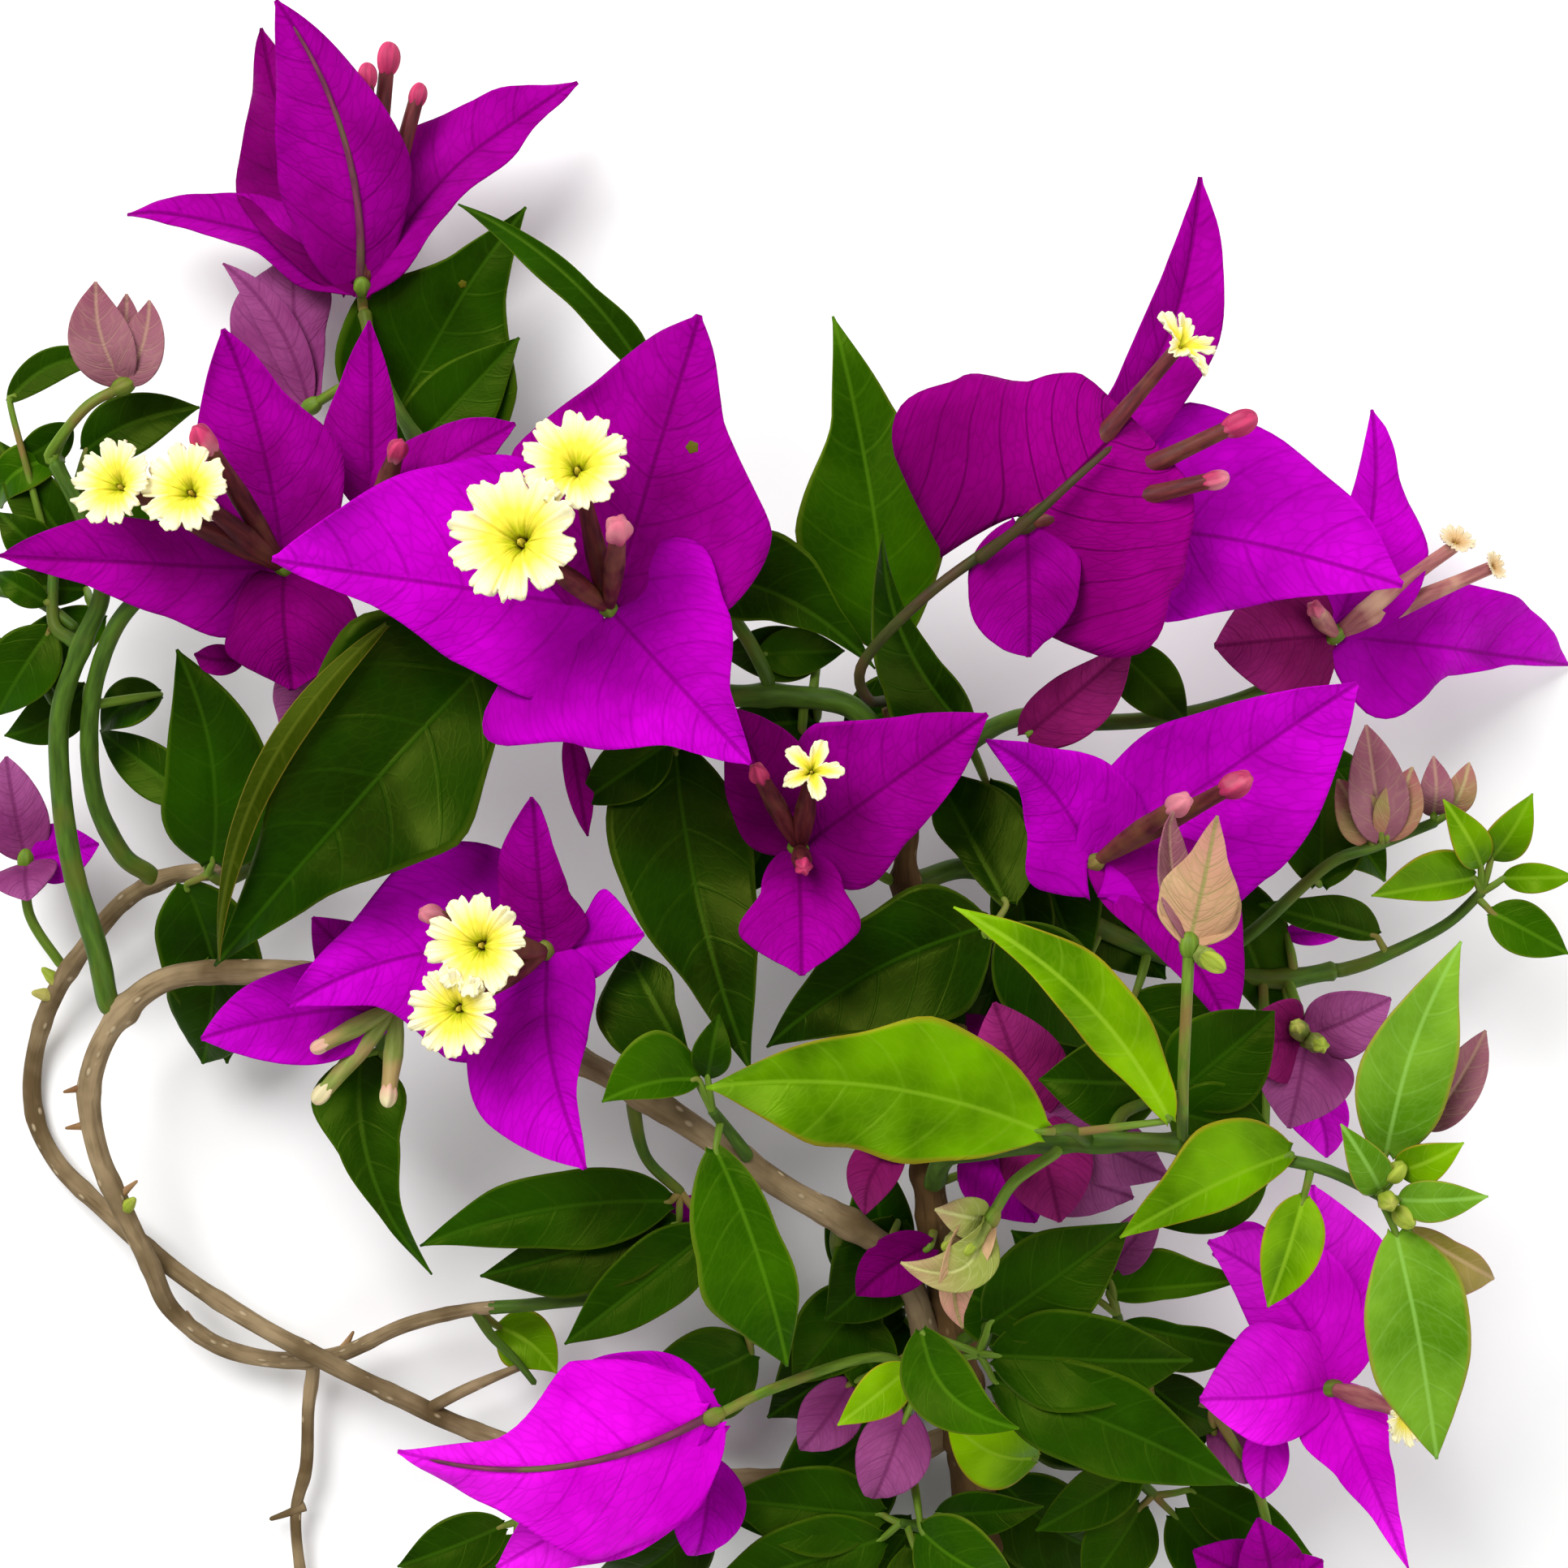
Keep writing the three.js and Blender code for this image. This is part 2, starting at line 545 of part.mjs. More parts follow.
    stalk: [[62, -24.2, 21], [63.4, -28, 27]],
    material: PINK,
    bracts: [
      [[62.2, -42.4, 38], 13, { bow: 2 }],
      [[54.9, -31.6, 39], 11, { bow: 2 }],
      [[74.8, -26.4, 39], 9, { bow: 1 }],
    ],
    flowers: [[[66.2, -32.2, 42], -1.2], [[63.2, -29.8, 42], -1.1]],
  },
  bloom_pink_behind: {
    on: "trunk",
    heart: [31, -41.2, 46],
    stalk: [[16.2, -32, 32], [20, -34, 39]],
    material: MAGENTA,
    bracts: [
      [[25.9, -26.9, 49], 12, { bow: 1 }],
      [[47.4, -48.4, 50], 10, { bow: -2 }],
      [[34, -54, 48], 12, { bow: 1 }],
    ],
    flowers: [],
  },
  bloom_left_edge: {
    on: "outer_whip",
    heart: [-93.4, -9.4, 13],
    stalk: [[-88.4, -23, 10], [-93, -16, 11]],
    material: MAGENTA,
    bracts: [
      [[-95.8, 3.4, 15], 9, { bow: 1 }],
      [[-84.4, -7.4, 14], 8, { bow: 1 }],
      [[-93.1, -14.4, 19], 9, { bow: 1 }],
    ],
    flowers: [],
  },
  bud_blooms_left: {
    on: "green_shoot_outer",
    heart: [-81.4, 49, 42],
    stalk: [[-90, 40, 40], [-86, 46.4, 42.4]],
    material: BLUSH,
    bracts: [
      [[-84.8, 61.9, 46], 8, { bow: 1, sway: 1 }],
      [[-78.2, 59.6, 45], 6, { bow: 1, sway: -1 }],
      [[-81, 60.4, 43], 5, { bow: 0 }],
    ],
    flowers: [],
  },
  bloom_bottom_edge: {
    on: "lower_right_bough",
    heart: [60.4, -99, 22],
    stalk: [[53, -76.4, 27.4], [58, -86, 24], [60, -94, 22]],
    material: MAGENTA,
    bracts: [
      [[50.4, -94.4, 26], 10, { bow: 1 }],
      [[66.4, -95.6, 25], 8, { bow: 1 }],
      [[58.4, -90.4, 27], 9, { bow: 1 }],
    ],
    flowers: [],
  },
  curly_bud: {
    on: "right_bough",
    heart: [25.4, -53.6, 63],
    stalk: [[34, -44.2, 61], [28.4, -49, 63]],
    material: BLUSH,
    bracts: [
      [[14.4, -59, 66], 7, { bow: 2, fold: 20 }],
      [[22, -67, 64], 6.5, { bow: 2, fold: 20 }],
      [[18.6, -52.4, 66], 5, { bow: 1 }],
    ],
    flowers: [[[22, -57, 67], -1.1]],
  },
};

// Leaves. Each spray is a green twig from its carrier with leaves on short stalks.
// A leaf is its foot, tip, width and bends.
const SPRAYS = {
  leaves_top_left: {
    on: "upper_left_bough",
    twig: [[-45.4, 42.6, 29.4], [-48, 40, 22], [-49, 41.6, 16]],
    material: DARK_LEAF,
    leaves: [
      [[-48.8, 43.2, 14.4], [-31.8, 71.1, 23], 24, { bow: 0, sway: 1, sides: [[8.5, 12, 3.8], [12, 13, 4.6]] }],
      [[-46.6, 40.2, 19], [-32.6, 55, 21], 11, { bow: 0 }],
    ],
  },
  leaves_top_centre: {
    on: "trunk",
    twig: [[14.6, 2, 40.5], [19, 1, 42], [21, 6, 43], [17, 13, 39]],
    material: DARK_LEAF,
    leaves: [
      [[12.8, 17, 39], [6, 57.6, 44], 20, { sway: -1, bow: 2, sides: [[6, 10.6, 3.2], [5, 9.2, 4.8]] }],
      [[23.4, 6, 45], [12.1, 30.8, 51], 12, { sway: 3, bow: 0, roll: 10, sides: [[6, 5.6, 2.8], [2.5, 2.5, 1.2]] }],
    ],
  },
  leaves_behind_centre: {
    on: "upper_left_bough",
    twig: [[-2, 11, 42], [-4, 17, 44], [-8, 24, 44], [-12, 38, 46], [-16, 48, 47]],
    material: DARK_LEAF,
    leaves: [
      [[-16.4, 49.4, 47.6], [-40.1, 71.4, 46], 5, { sway: -2.6, fold: 20, sides: [[1.8, 2.5, 2.4], [2.2, 1.4, 1]] }],
      [[-8.6, 25.6, 44.6], [11.2, 14.2, 47], 15, { sway: 2, bow: 2, sides: [[6, 6.3, 2.3], [4.5, 3.2, 1.3]] }],
      [[-3, 16, 43], [7.4, 16.4, 41], 6, { bow: 1 }],
    ],
  },
  leaf_large_left: {
    on: "upper_left_bough",
    twig: [[-23.4, 19, 42], [-30, 15, 45], [-34, 15.6, 47]],
    material: DARK_LEAF,
    leaves: [[[-35.4, 16.4, 47.5], [-70.1, -22.4, 45], 25, { sway: 0, bow: 5, fold: 10, sides: [[6.3, 13, 4.7], [13.3, 12.2, 5.6]] }]],
  },
  leaves_left_loop: {
    on: "outer_whip",
    twig: [[-66, -10.4, 19.4], [-69, -12, 24], [-71, -11, 26]],
    material: DARK_LEAF,
    leaves: [
      [[-70.4, -9.6, 27], [-74.8, 16.6, 34], 15, { bow: 2, sway: -2.5, sides: [[5.5, 6.3, 4.4], [8, 8, 5]] }],
      [[-73.6, -12.4, 24], [-68.6, -34.4, 12], 14, { bow: -1, sway: 1 }],
      [[-73, -2, 26], [-84.2, 6.6, 21], 7, { bow: 1 }],
    ],
  },
  leaves_left_edge: {
    on: "green_shoot_outer",
    twig: [[-86.6, 17, 36], [-90, 20, 34], [-90, 27, 34]],
    material: DARK_LEAF,
    leaves: [
      [[-90.4, 19, 33], [-97, 8.4, 30], 9, { bow: 1 }],
      [[-91, 22.4, 34], [-97, 26, 34], 4, {}],
      [[-90.6, 28, 34], [-96.6, 33.4, 36], 6, {}],
      [[-88, 29.4, 34], [-97, 42.4, 34], 7, { bow: 1 }],
      [[-86, 41, 34], [-72, 46.4, 36], 8, { bow: 1, sway: 1 }],
      [[-95.4, 47.2, 38], [-82.2, 52, 39], 4.4, { sway: 2.4, bow: 0 }],
    ],
  },
  leaves_mid_left: {
    on: "upper_left_bough",
    twig: [[-10, 11.4, 42], [-11, 6, 41], [-12.6, 4.8, 41]],
    material: DARK_LEAF,
    leaves: [
      [[-13.4, 4.4, 40], [-4.1, -35.4, 44], 19, { sway: -1.5, bow: 0, sides: [[5.4, 8, 5.1], [8.2, 9.1, 4.1]] }],
      [[-14.4, 5, 41.6], [-25.1, -2.4, 40], 8, {}],
    ],
  },
  leaves_below_left: {
    on: "left_whip",
    twig: [[-47, -26, 29.2], [-49, -31, 27], [-50, -33, 26]],
    material: DARK_LEAF,
    leaves: [
      [[-52, -33.6, 26], [-43.4, -60.4, 28], 11, { sway: -3, bow: 3, sides: [[5.5, 4.5, 1.9], [5.5, 3.3, 1]] }],
      [[-49, -34, 26], [-57.4, -40.4, 19], 7, {}],
    ],
  },
  leaves_below_centre: {
    on: "left_whip",
    twig: [[-17.4, -38.6, 34], [-17, -46, 29], [-12.4, -50.6, 27]],
    material: DARK_LEAF,
    leaves: [
      [[-14, -51.4, 27], [-44.8, -56.9, 27], 11, { sway: -2, bow: 2, sides: [[4, 5.6, 3.4], [3.6, 4.6, 3.8]] }],
      [[-13, -54, 26], [-37.4, -60.6, 24.5], 11, { bow: 1, sides: [[4, 5.5, 5], [3, 4, 3]] }],
      [[-9, -55, 27], [-27, -69, 26], 10, { bow: 1 }],
    ],
  },
  leaves_below_front: {
    on: "left_whip",
    twig: [[-6, -46, 33], [-7.4, -42, 39], [-9, -40, 43]],
    material: DARK_LEAF,
    leaves: [
      [[-8.4, -45, 42], [0.4, -71.7, 40], 14, { bow: 3, sway: 1, sides: [[2.4, 3.4, 3.5], [4.6, 7.4, 7]] }],
      [[-10.6, -36.4, 45], [-22.4, -39.2, 48], 9, { bow: 1, sway: -1, sides: [[1.6, 2.2, 1.3], [3.4, 6.4, 4.2]] }],
      [[-9.4, -36, 45], [-8, -28.4, 46], 5, {}],
      [[-12, -34, 42], [-19.4, -20.4, 37], 9, { sides: [[4.6, 7.6, 6], [1, 2.2, 3.4]] }],
    ],
  },
  leaves_bright: {
    on: "right_bough",
    twig: [[38, -44.1, 63.4], [35, -42.6, 69], [33, -42.8, 71]],
    material: BRIGHT_LEAF,
    leaves: [
      [[31.6, -42.8, 71.5], [-9.6, -37.4, 72], 17, { sway: -3, bow: 3, sides: [[4.4, 7.8, 7], [5.4, 8.8, 4.5]] }],
      [[47.4, -41.4, 73], [20.9, -15.2, 75], 11, { sway: -3, bow: 3, sides: [[1.8, 3.1, 1.9], [2.4, 4.9, 3.4]] }],
    ],
  },
  leaves_end: {
    on: "right_bough",
    twig: [[49.6, -44.3, 67], [60, -46, 68], [67, -47.6, 69], [74, -51, 68]],
    material: BRIGHT_LEAF,
    leaves: [
      [[62.4, -45.6, 69.4], [41.4, -55.9, 71], 11, { sway: -1, bow: 2, sides: [[1.8, 3, 2], [4.9, 7, 3.2]] }],
      [[74.2, -45.4, 69], [83.4, -19.4, 74], 13, { sway: 1.5, bow: 2, sides: [[3.5, 5.5, 3], [4, 5.4, 3.6]] }],
      [[75.4, -55.4, 67], [80.4, -83.1, 66], 13, { bow: 3, sides: [[4.6, 6.4, 3.8], [3.6, 6.2, 5]] }],
      [[73.4, -50, 69], [68.6, -41.9, 73], 5, {}],
      [[75.8, -47.6, 69], [83.7, -44.2, 73], 5, {}],
      [[76, -51.2, 69], [86.7, -50.8, 73], 5, {}],
      [[77, -55, 67], [87.4, -60.9, 64], 8, { sides: [[1.2, 1.6, 1.6], [3, 5, 3.6]] }],
      [[64, -51, 68], [59.6, -64.4, 68], 8, { bow: 1, fold: 25 }],
      [[79.4, -42, 67], [86.4, -30.4, 66], 6, { fold: 20 }],
    ],
    buds: [[75.4, -47.8, 71], [74.4, -51.4, 71.4], [76.4, -53.4, 70]],
  },
  leaves_right_edge: {
    on: "upper_right_bough",
    twig: [[68.4, -22.9, 21], [73.4, -21.4, 23], [81.4, -17.4, 27], [86.4, -12.9, 30]],
    material: BRIGHT_LEAF,
    leaves: [
      [[85, -11.6, 31], [72.4, -13.8, 36], 7, { bow: 1, sides: [[1.5, 2, 1.2], [3, 4.4, 3]] }],
      [[87.2, -15.8, 30], [96.6, -20.9, 31], 7, { bow: 1 }],
      [[88.8, -11.6, 31], [97.4, -11.4, 33], 4, {}],
      [[87.2, -9, 32], [92.2, -1.2, 36], 5.5, {}],
      [[85.8, -10, 32], [81.2, -1.9, 36], 5, {}],
      [[73, -18.8, 24], [58.4, -14.8, 26], 8, { bow: 1, sides: [[1, 1.3, 1.4], [3, 4, 2.2]] }],
    ],
  },
  bud_blooms_right: {
    on: "upper_right_bough",
    twig: [[52, -22.6, 22.2], [58, -18, 30], [67, -10, 33], [73, -7.6, 34], [81, -4.4, 31]],
    material: DARK_LEAF,
    leaves: [
      [[73.6, -6.4, 35], [71.7, 7.3, 38], 8, { bow: 1, fold: 20 }],
      [[74.4, -6.4, 35], [77.4, 2.1, 37], 6, { bow: 1 }],
      [[72.2, -6.8, 34], [68.2, 0.6, 36], 6, { bow: 1 }],
      [[80, -3.6, 31], [80, 3.4, 33], 4.5, {}],
      [[82, -3.6, 31], [84.4, 2.6, 32], 4, {}],
      [[66, -12.4, 31], [66.4, 3.6, 24], 12, { bow: 1 }],
    ],
  },
  sprig_top_right: {
    on: "right_top_bough",
    twig: [[36, 7.8, 33], [37, 9, 37], [39, 13, 38]],
    material: DARK_LEAF,
    leaves: [
      [[41, 16.4, 38.4], [49.6, 7.6, 37], 8, { bow: 2 }],
      [[30, 6, 40], [42.8, 17.2, 44], 9, { bow: 1, sides: [[2.6, 3.2, 2], [3.5, 5, 4]] }],
    ],
  },
  leaves_centre_dark: {
    on: "trunk",
    twig: [[15.4, -24, 34.4], [22, -23, 39], [25, -19, 42]],
    material: DARK_LEAF,
    leaves: [
      [[24.6, -17.6, 42], [-2.1, -32.4, 38], 17, { bow: 2, sway: -2, sides: [[8, 9, 5], [6.5, 6.8, 3.5]] }],
      [[27.4, -18, 42], [39.4, -33, 36], 13, { bow: 0 }],
      [[27.4, -14.9, 42], [18.4, 2, 36], 13, { bow: -1, sides: [[1.2, 2.4, 3.2], [5, 8, 6]] }],
    ],
  },
  leaves_centre_right: {
    on: "right_bough",
    twig: [[40, -44, 64.6], [42, -40.4, 60], [46.4, -38.6, 57]],
    material: DARK_LEAF,
    leaves: [
      [[46, -37, 57], [31.4, -36.4, 58], 12, { bow: 1 }],
      [[48.6, -38, 57], [60.4, -28, 58], 13, { bow: 1 }],
      [[48, -40.4, 57], [60.4, -43.4, 56], 10, { bow: 1 }],
    ],
  },
  leaves_low_centre: {
    on: "trunk",
    twig: [[20.6, -67, 16.4], [25, -67, 30], [24, -70.4, 42]],
    material: DARK_LEAF,
    leaves: [
      [[26, -73.6, 42], [55.9, -86.4, 46], 13, { bow: 3, sway: 1 }],
      [[17, -67.4, 43], [29, -79.4, 50], 9, { bow: 2, sway: -3 }],
      [[15.4, -72, 41], [6.6, -79, 44], 6, { bow: 1 }],
      [[26, -70.4, 43], [50.4, -71, 45], 13, { bow: 2 }],
      [[25.4, -66.4, 43], [42.4, -54, 44], 13, { bow: 2 }],
    ],
  },
  leaves_low_middle: {
    on: "left_whip",
    twig: [[8, -54.6, 27], [6.6, -58, 22], [9, -62, 17]],
    material: DARK_LEAF,
    leaves: [
      [[10.2, -62.4, 15.6], [1, -74, 18], 11.4, { bow: 1 }],
      [[11.2, -61.2, 16], [5.4, -51, 19.4], 8, { bow: 1 }],
      [[12.4, -60, 16.4], [11, -45, 19], 9, { bow: 1 }],
      [[8.4, -65, 16], [13, -78, 18], 8, { bow: 1 }],
    ],
  },
  leaves_low_bottom: {
    on: "trunk",
    twig: [[23.8, -93, 6.4], [18, -92, 12], [14, -91, 16]],
    material: DARK_LEAF,
    leaves: [
      [[12, -90, 15], [-8, -88, 15], 12, { bow: 1 }],
      [[12, -93, 15], [-10, -99.4, 16], 12, { bow: 1 }],
      [[16, -94, 17], [20, -103, 19], 12, { bow: 1 }],
      [[19, -90, 14], [32, -89, 20], 6, { bow: 1 }],
    ],
  },
  leaves_low_edge: {
    on: "lower_right_bough",
    twig: [[39, -77, 22], [41, -83, 17], [46, -88, 16]],
    material: DARK_LEAF,
    leaves: [
      [[44, -89, 16], [37, -99.6, 16], 10, { bow: 1 }],
      [[48, -90, 16], [58, -101, 14], 10, { bow: 1 }],
      [[44, -84, 18], [31, -92, 18], 8, { bow: 1 }],
      [[50, -87, 16], [65, -95, 16], 8, { bow: 1 }],
      [[42, -81, 19], [53, -80, 21], 8, { bow: 1 }],
    ],
  },
  leaves_low_right: {
    on: "lower_right_bough",
    twig: [[44, -76.8, 24], [42, -71, 28], [41, -65, 30]],
    material: DARK_LEAF,
    leaves: [
      [[40, -62.6, 30], [57, -61, 32], 9, { bow: 1, sides: [[3, 5.2, 2.8], [1.4, 1.4, 1]] }],
      [[42, -66.6, 30], [58, -69.8, 31], 8, { bow: 1, sides: [[1.4, 1.5, 1.6], [2.6, 4.5, 3]] }],
      [[38, -63, 30], [28, -55, 34], 9, { bow: 1 }],
      [[40, -59.6, 30], [46.4, -51.4, 36], 6, { bow: 1 }],
    ],
  },
  leaves_low_left: {
    on: "outer_whip",
    twig: [[-26, -83.6, 6.8], [-30, -88, 9], [-33, -91, 11]],
    material: DARK_LEAF,
    leaves: [
      [[-34.6, -91.4, 11], [-47.6, -96.4, 12], 8, { bow: 1 }],
      [[-33, -93, 11], [-38, -103, 12], 8, { bow: 1 }],
    ],
  },
};

const ON_TWIG = [0.15, 0.97]; // where along a twig a leaf stalk may start

// A twig with leaves on short stalks, each stalk from the nearest place on the twig
function spray({ carrier, twig, leaves, buds = [] }) {
  const line = growFrom(carriers[carrier], twig.map(at));
  const parts = [stem(line, [1.0, 0.8, 0.7], THIN_SIDES, TWIG_STEP)];
  for (const [foot, tip, width, bends] of leaves) {
    const start = at(foot);
    const root = line.getPointAt(THREE.MathUtils.clamp(nearest(line, start), ...ON_TWIG));
    parts.push(blade("leaf", start, at(tip), width, bends, root));
  }
  for (const bud of buds) {
    const place = at(bud);
    const stalk = lineThrough([line.getPointAt(nearest(line, place)), place]);
    parts.push(stem(stalk, [0.6], THIN_SIDES, THIN_STEP));
    parts.push(solidOf(new THREE.OctahedronGeometry(1.3 * KNOB).translate(place.x, place.y, place.z)));
  }
  return fused(parts);
}

// Where a bract or flower leaves the knob at the heart of its bloom
function outFrom(centre, tip) {
  return centre.clone().addScaledVector(tip.clone().sub(centre).normalize(), RECEPTACLE_RADIUS * 0.55);
}

// A bloom: its stalk, its heart, its bracts and its flowers in one solid
function bloom({ carrier, heart, stalk, bracts, flowers }) {
  const centre = at(heart);
  const line = growFrom(carriers[carrier], [...stalk, heart].map(at));
  const parts = [stem(line, [STALK_RADIUS], THIN_SIDES, THIN_STEP)];
  parts.push(solidOf(new THREE.OctahedronGeometry(RECEPTACLE_RADIUS * KNOB).translate(...centre.toArray())));
  for (const [tip, width, bends] of bracts) {
    parts.push(blade("bract", outFrom(centre, at(tip)), at(tip), width, bends));
  }
  for (const [tip, star, facing] of flowers) {
    parts.push(...flower(outFrom(centre, at(tip)), at(tip), star, facing));
  }
  return fused(parts);
}

const branch = new THREE.Group();
const carriers = {};
for (const [key, limb] of Object.entries(LIMBS)) {
  const points = limb.path.map(at);
  const curve = limb.on ? growFrom(carriers[limb.on], points) : lineThrough(points);
  carriers[key] = { curve, radii: limb.radii };
  const half = GAP / 2 / curve.getLength();
  const ends = [-half, ...limb.splits, 1 + half];
  limb.names.forEach((name, i) => {
    const stretch = [ends[i] + half, ends[i + 1] - half];
    branch.add(meshOf(name, stem(curve, limb.radii, LIMB_SIDES, LIMB_STEP, stretch), limb.material));
  });
}

for (const [name, { on, material, ...rest }] of Object.entries(BLOOMS)) {
  branch.add(meshOf(name, bloom({ carrier: on, ...rest }), material));
}
for (const [name, { on, material, ...rest }] of Object.entries(SPRAYS)) {
  branch.add(meshOf(name, spray({ carrier: on, ...rest }), material));
}

export default branch;
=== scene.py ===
# A cut, flowering bougainvillea branch on its back, dressed with fine bark, veined leaves and papery bracts.
# Tables are millimetres as in the part's source, and meshes are metres in the part's own frame.
import math
import zlib
import bpy
import numpy as np
from mathutils import Matrix, Vector


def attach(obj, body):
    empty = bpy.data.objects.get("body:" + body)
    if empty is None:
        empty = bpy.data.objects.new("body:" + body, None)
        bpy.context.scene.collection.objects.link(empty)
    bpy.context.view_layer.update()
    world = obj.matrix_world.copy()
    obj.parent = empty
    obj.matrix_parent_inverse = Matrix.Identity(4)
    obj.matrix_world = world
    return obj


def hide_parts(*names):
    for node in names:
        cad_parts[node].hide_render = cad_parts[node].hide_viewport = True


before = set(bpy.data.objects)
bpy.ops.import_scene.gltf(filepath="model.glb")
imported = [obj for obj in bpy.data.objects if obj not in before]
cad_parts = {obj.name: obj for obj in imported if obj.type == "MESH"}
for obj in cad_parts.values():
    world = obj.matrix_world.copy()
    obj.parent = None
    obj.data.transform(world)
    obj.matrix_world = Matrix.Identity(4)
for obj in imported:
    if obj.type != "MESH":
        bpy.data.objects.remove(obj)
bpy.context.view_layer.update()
bpy.ops.object.select_all(action="DESELECT")

# Sizes that drive the whole branch, in millimetres
MM = 0.001
STALK_RADIUS = 0.7
PETIOLE_RADIUS = 0.55
RECEPTACLE_RADIUS = 1.7
LEAF_THICKNESS = 0.35
BRACT_THICKNESS = 0.22
EDGE = 0.08  # least half width of a blade
SUNK = 0.6  # how deep the foot of a stem sits in its carrier's bark
PAST = 1.2  # how far a stalk runs on under its blade
THORN = 3.6  # length of a side thorn
BUD = 3.4  # length of a small bud on a bough

# Places are measured as seen from EYE above the surface, on a plane MID above it. The photo is FRAME wide.
EYE = 475
MID = 55
FRAME = 193.2
FOOT = np.array([0.6, -7.08, 0.51])
UP = np.array([0, 0, 1.0])


def at(place):
    """A measured place in the part's own frame."""
    x, y, z = place
    spread = (EYE - z) / (EYE - MID)
    return np.array([x * spread, y * spread, z]) - FOOT


def unit(vectors):
    return vectors / np.maximum(np.linalg.norm(vectors, axis=-1, keepdims=True), 1e-9)


def dice_for(name):
    return np.random.default_rng(zlib.crc32(name.encode()))


class Line:
    """A smooth curve through points, read at shares of its length."""

    def __init__(self, points):
        self.points = np.array(points, float)
        self.steps = np.linspace(0, 1, 201)
        track = self.spot(self.steps)
        self.lengths = np.concatenate([[0], np.cumsum(np.linalg.norm(np.diff(track, axis=0), axis=1))])
        self.length = self.lengths[-1]

    def spot(self, step):
        p = self.points
        ends = np.vstack([2 * p[0] - p[1], p, 2 * p[-1] - p[-2]])
        place = np.clip(step, 0, 1) * (len(p) - 1)
        i = np.minimum(place.astype(int), len(p) - 2)
        w = (place - i)[:, None]
        before, start, stop, after = ends[i], ends[i + 1], ends[i + 2], ends[i + 3]
        lean = 0.5 * (stop - before)
        away = 0.5 * (after - start)
        return (start + w * lean + w ** 2 * (3 * (stop - start) - 2 * lean - away)
                + w ** 3 * (2 * (start - stop) + lean + away))

    def at(self, share):
        wanted = np.atleast_1d(share) * self.length
        return self.spot(np.interp(wanted, self.lengths, self.steps))

    def along(self, share):
        share = np.atleast_1d(share)
        return unit(self.at(np.minimum(share + 0.002, 1)) - self.at(np.maximum(share - 0.002, 0)))


def nearest(line, point):
    shares = np.linspace(0, 1, 401)
    away = np.linalg.norm(line.at(shares) - point, axis=1)
    return shares[away.argmin()]


def spot_near(line, point):
    return line.at(nearest(line, point))[0]


def radius_at(radii, share):
    return np.interp(share, np.linspace(0, 1, len(radii)), radii) if len(radii) > 1 else radii[0] + 0 * share


def grow_from(carrier, points):
    """A stem's line, from its carrier's bark, or straight on from the carrier's end."""
    line, radii = carrier
    share = nearest(line, points[0])
    centre = line.at(share)[0]
    along = line.along(share)[0]
    out = points[1] - centre
    if share > 0.995 and out @ along > 0:
        out = along
        centre = centre - along * 0.5
    else:
        out = unit(out - along * (out @ along))
        centre = centre + out * (radius_at(radii, share) - SUNK)
    return Line([centre, centre + out * (0.8 + SUNK), *points[1:]])


# Finishes
def linear(hexcode):
    parts = [int(hexcode[i:i + 2], 16) / 255 for i in (1, 3, 5)]
    return (*[c / 12.92 if c <= 0.04045 else ((c + 0.055) / 1.055) ** 2.4 for c in parts], 1.0)


def add(tree, kind, links=None, **settings):
    """Adds a node with its settings, and sets or links its inputs. A text is a colour."""
    node = tree.nodes.new(kind)
    for key, value in settings.items():
        setattr(node, key, value)
    for socket, value in (links or {}).items():
        if isinstance(value, bpy.types.NodeSocket):
            tree.links.new(value, node.inputs[socket])
        else:
            node.inputs[socket].default_value = linear(value) if isinstance(value, str) else value
    return node


def new_material(name, skin, *values):
    material = bpy.data.materials.new(name)
    material.use_nodes = True
    material.node_tree.nodes.clear()
    skin(material.node_tree, *values)
    return material


def close_material(tree, links):
    shader = add(tree, "ShaderNodeBsdfPrincipled", links)
    add(tree, "ShaderNodeOutputMaterial", {"Surface": shader.outputs["BSDF"]})


def close_skin(tree, colour, height, bump, rough, sheen):
    """bump: strength and depth in metres. rough: what it follows, least and most. sheen: IOR, level, tint."""
    strength, depth = bump
    relief = add(tree, "ShaderNodeBump", {"Height": height, "Strength": strength, "Distance": depth})
    ior, level, *tint = sheen
    close_material(tree, {"Base Color": colour, "Roughness": fade(tree, rough[0], 0.3, 0.7, *rough[1:]),
                          "Normal": relief.outputs[0], "IOR": ior, "Specular IOR Level": level,
                          "Specular Tint": tint[0] if tint else "#ffffff"})


def mix(tree, share, first, second):
    return add(tree, "ShaderNodeMix", {0: share, 6: first, 7: second}, data_type="RGBA").outputs[2]


def maths(tree, operation, *values):
    return add(tree, "ShaderNodeMath", dict(enumerate(values)), operation=operation).outputs[0]


def times(tree, *values):
    return maths(tree, "MULTIPLY", *values)


def fade(tree, value, start, stop, low=0.0, high=1.0):
    links = {"Value": value, "From Min": start, "From Max": stop, "To Min": low, "To Max": high}
    return add(tree, "ShaderNodeMapRange", links, clamp=True).outputs[0]


def map_of(tree, label):
    """A map of the mesh, and its two ways apart."""
    whole = add(tree, "ShaderNodeUVMap", uv_map=label).outputs[0]
    return whole, *add(tree, "ShaderNodeSeparateXYZ", {0: whole}).outputs[:2]


def stretched(tree, label, x, y):
    return add(tree, "ShaderNodeMapping", {0: map_of(tree, label)[0], 3: (x, y, 1)}).outputs[0]


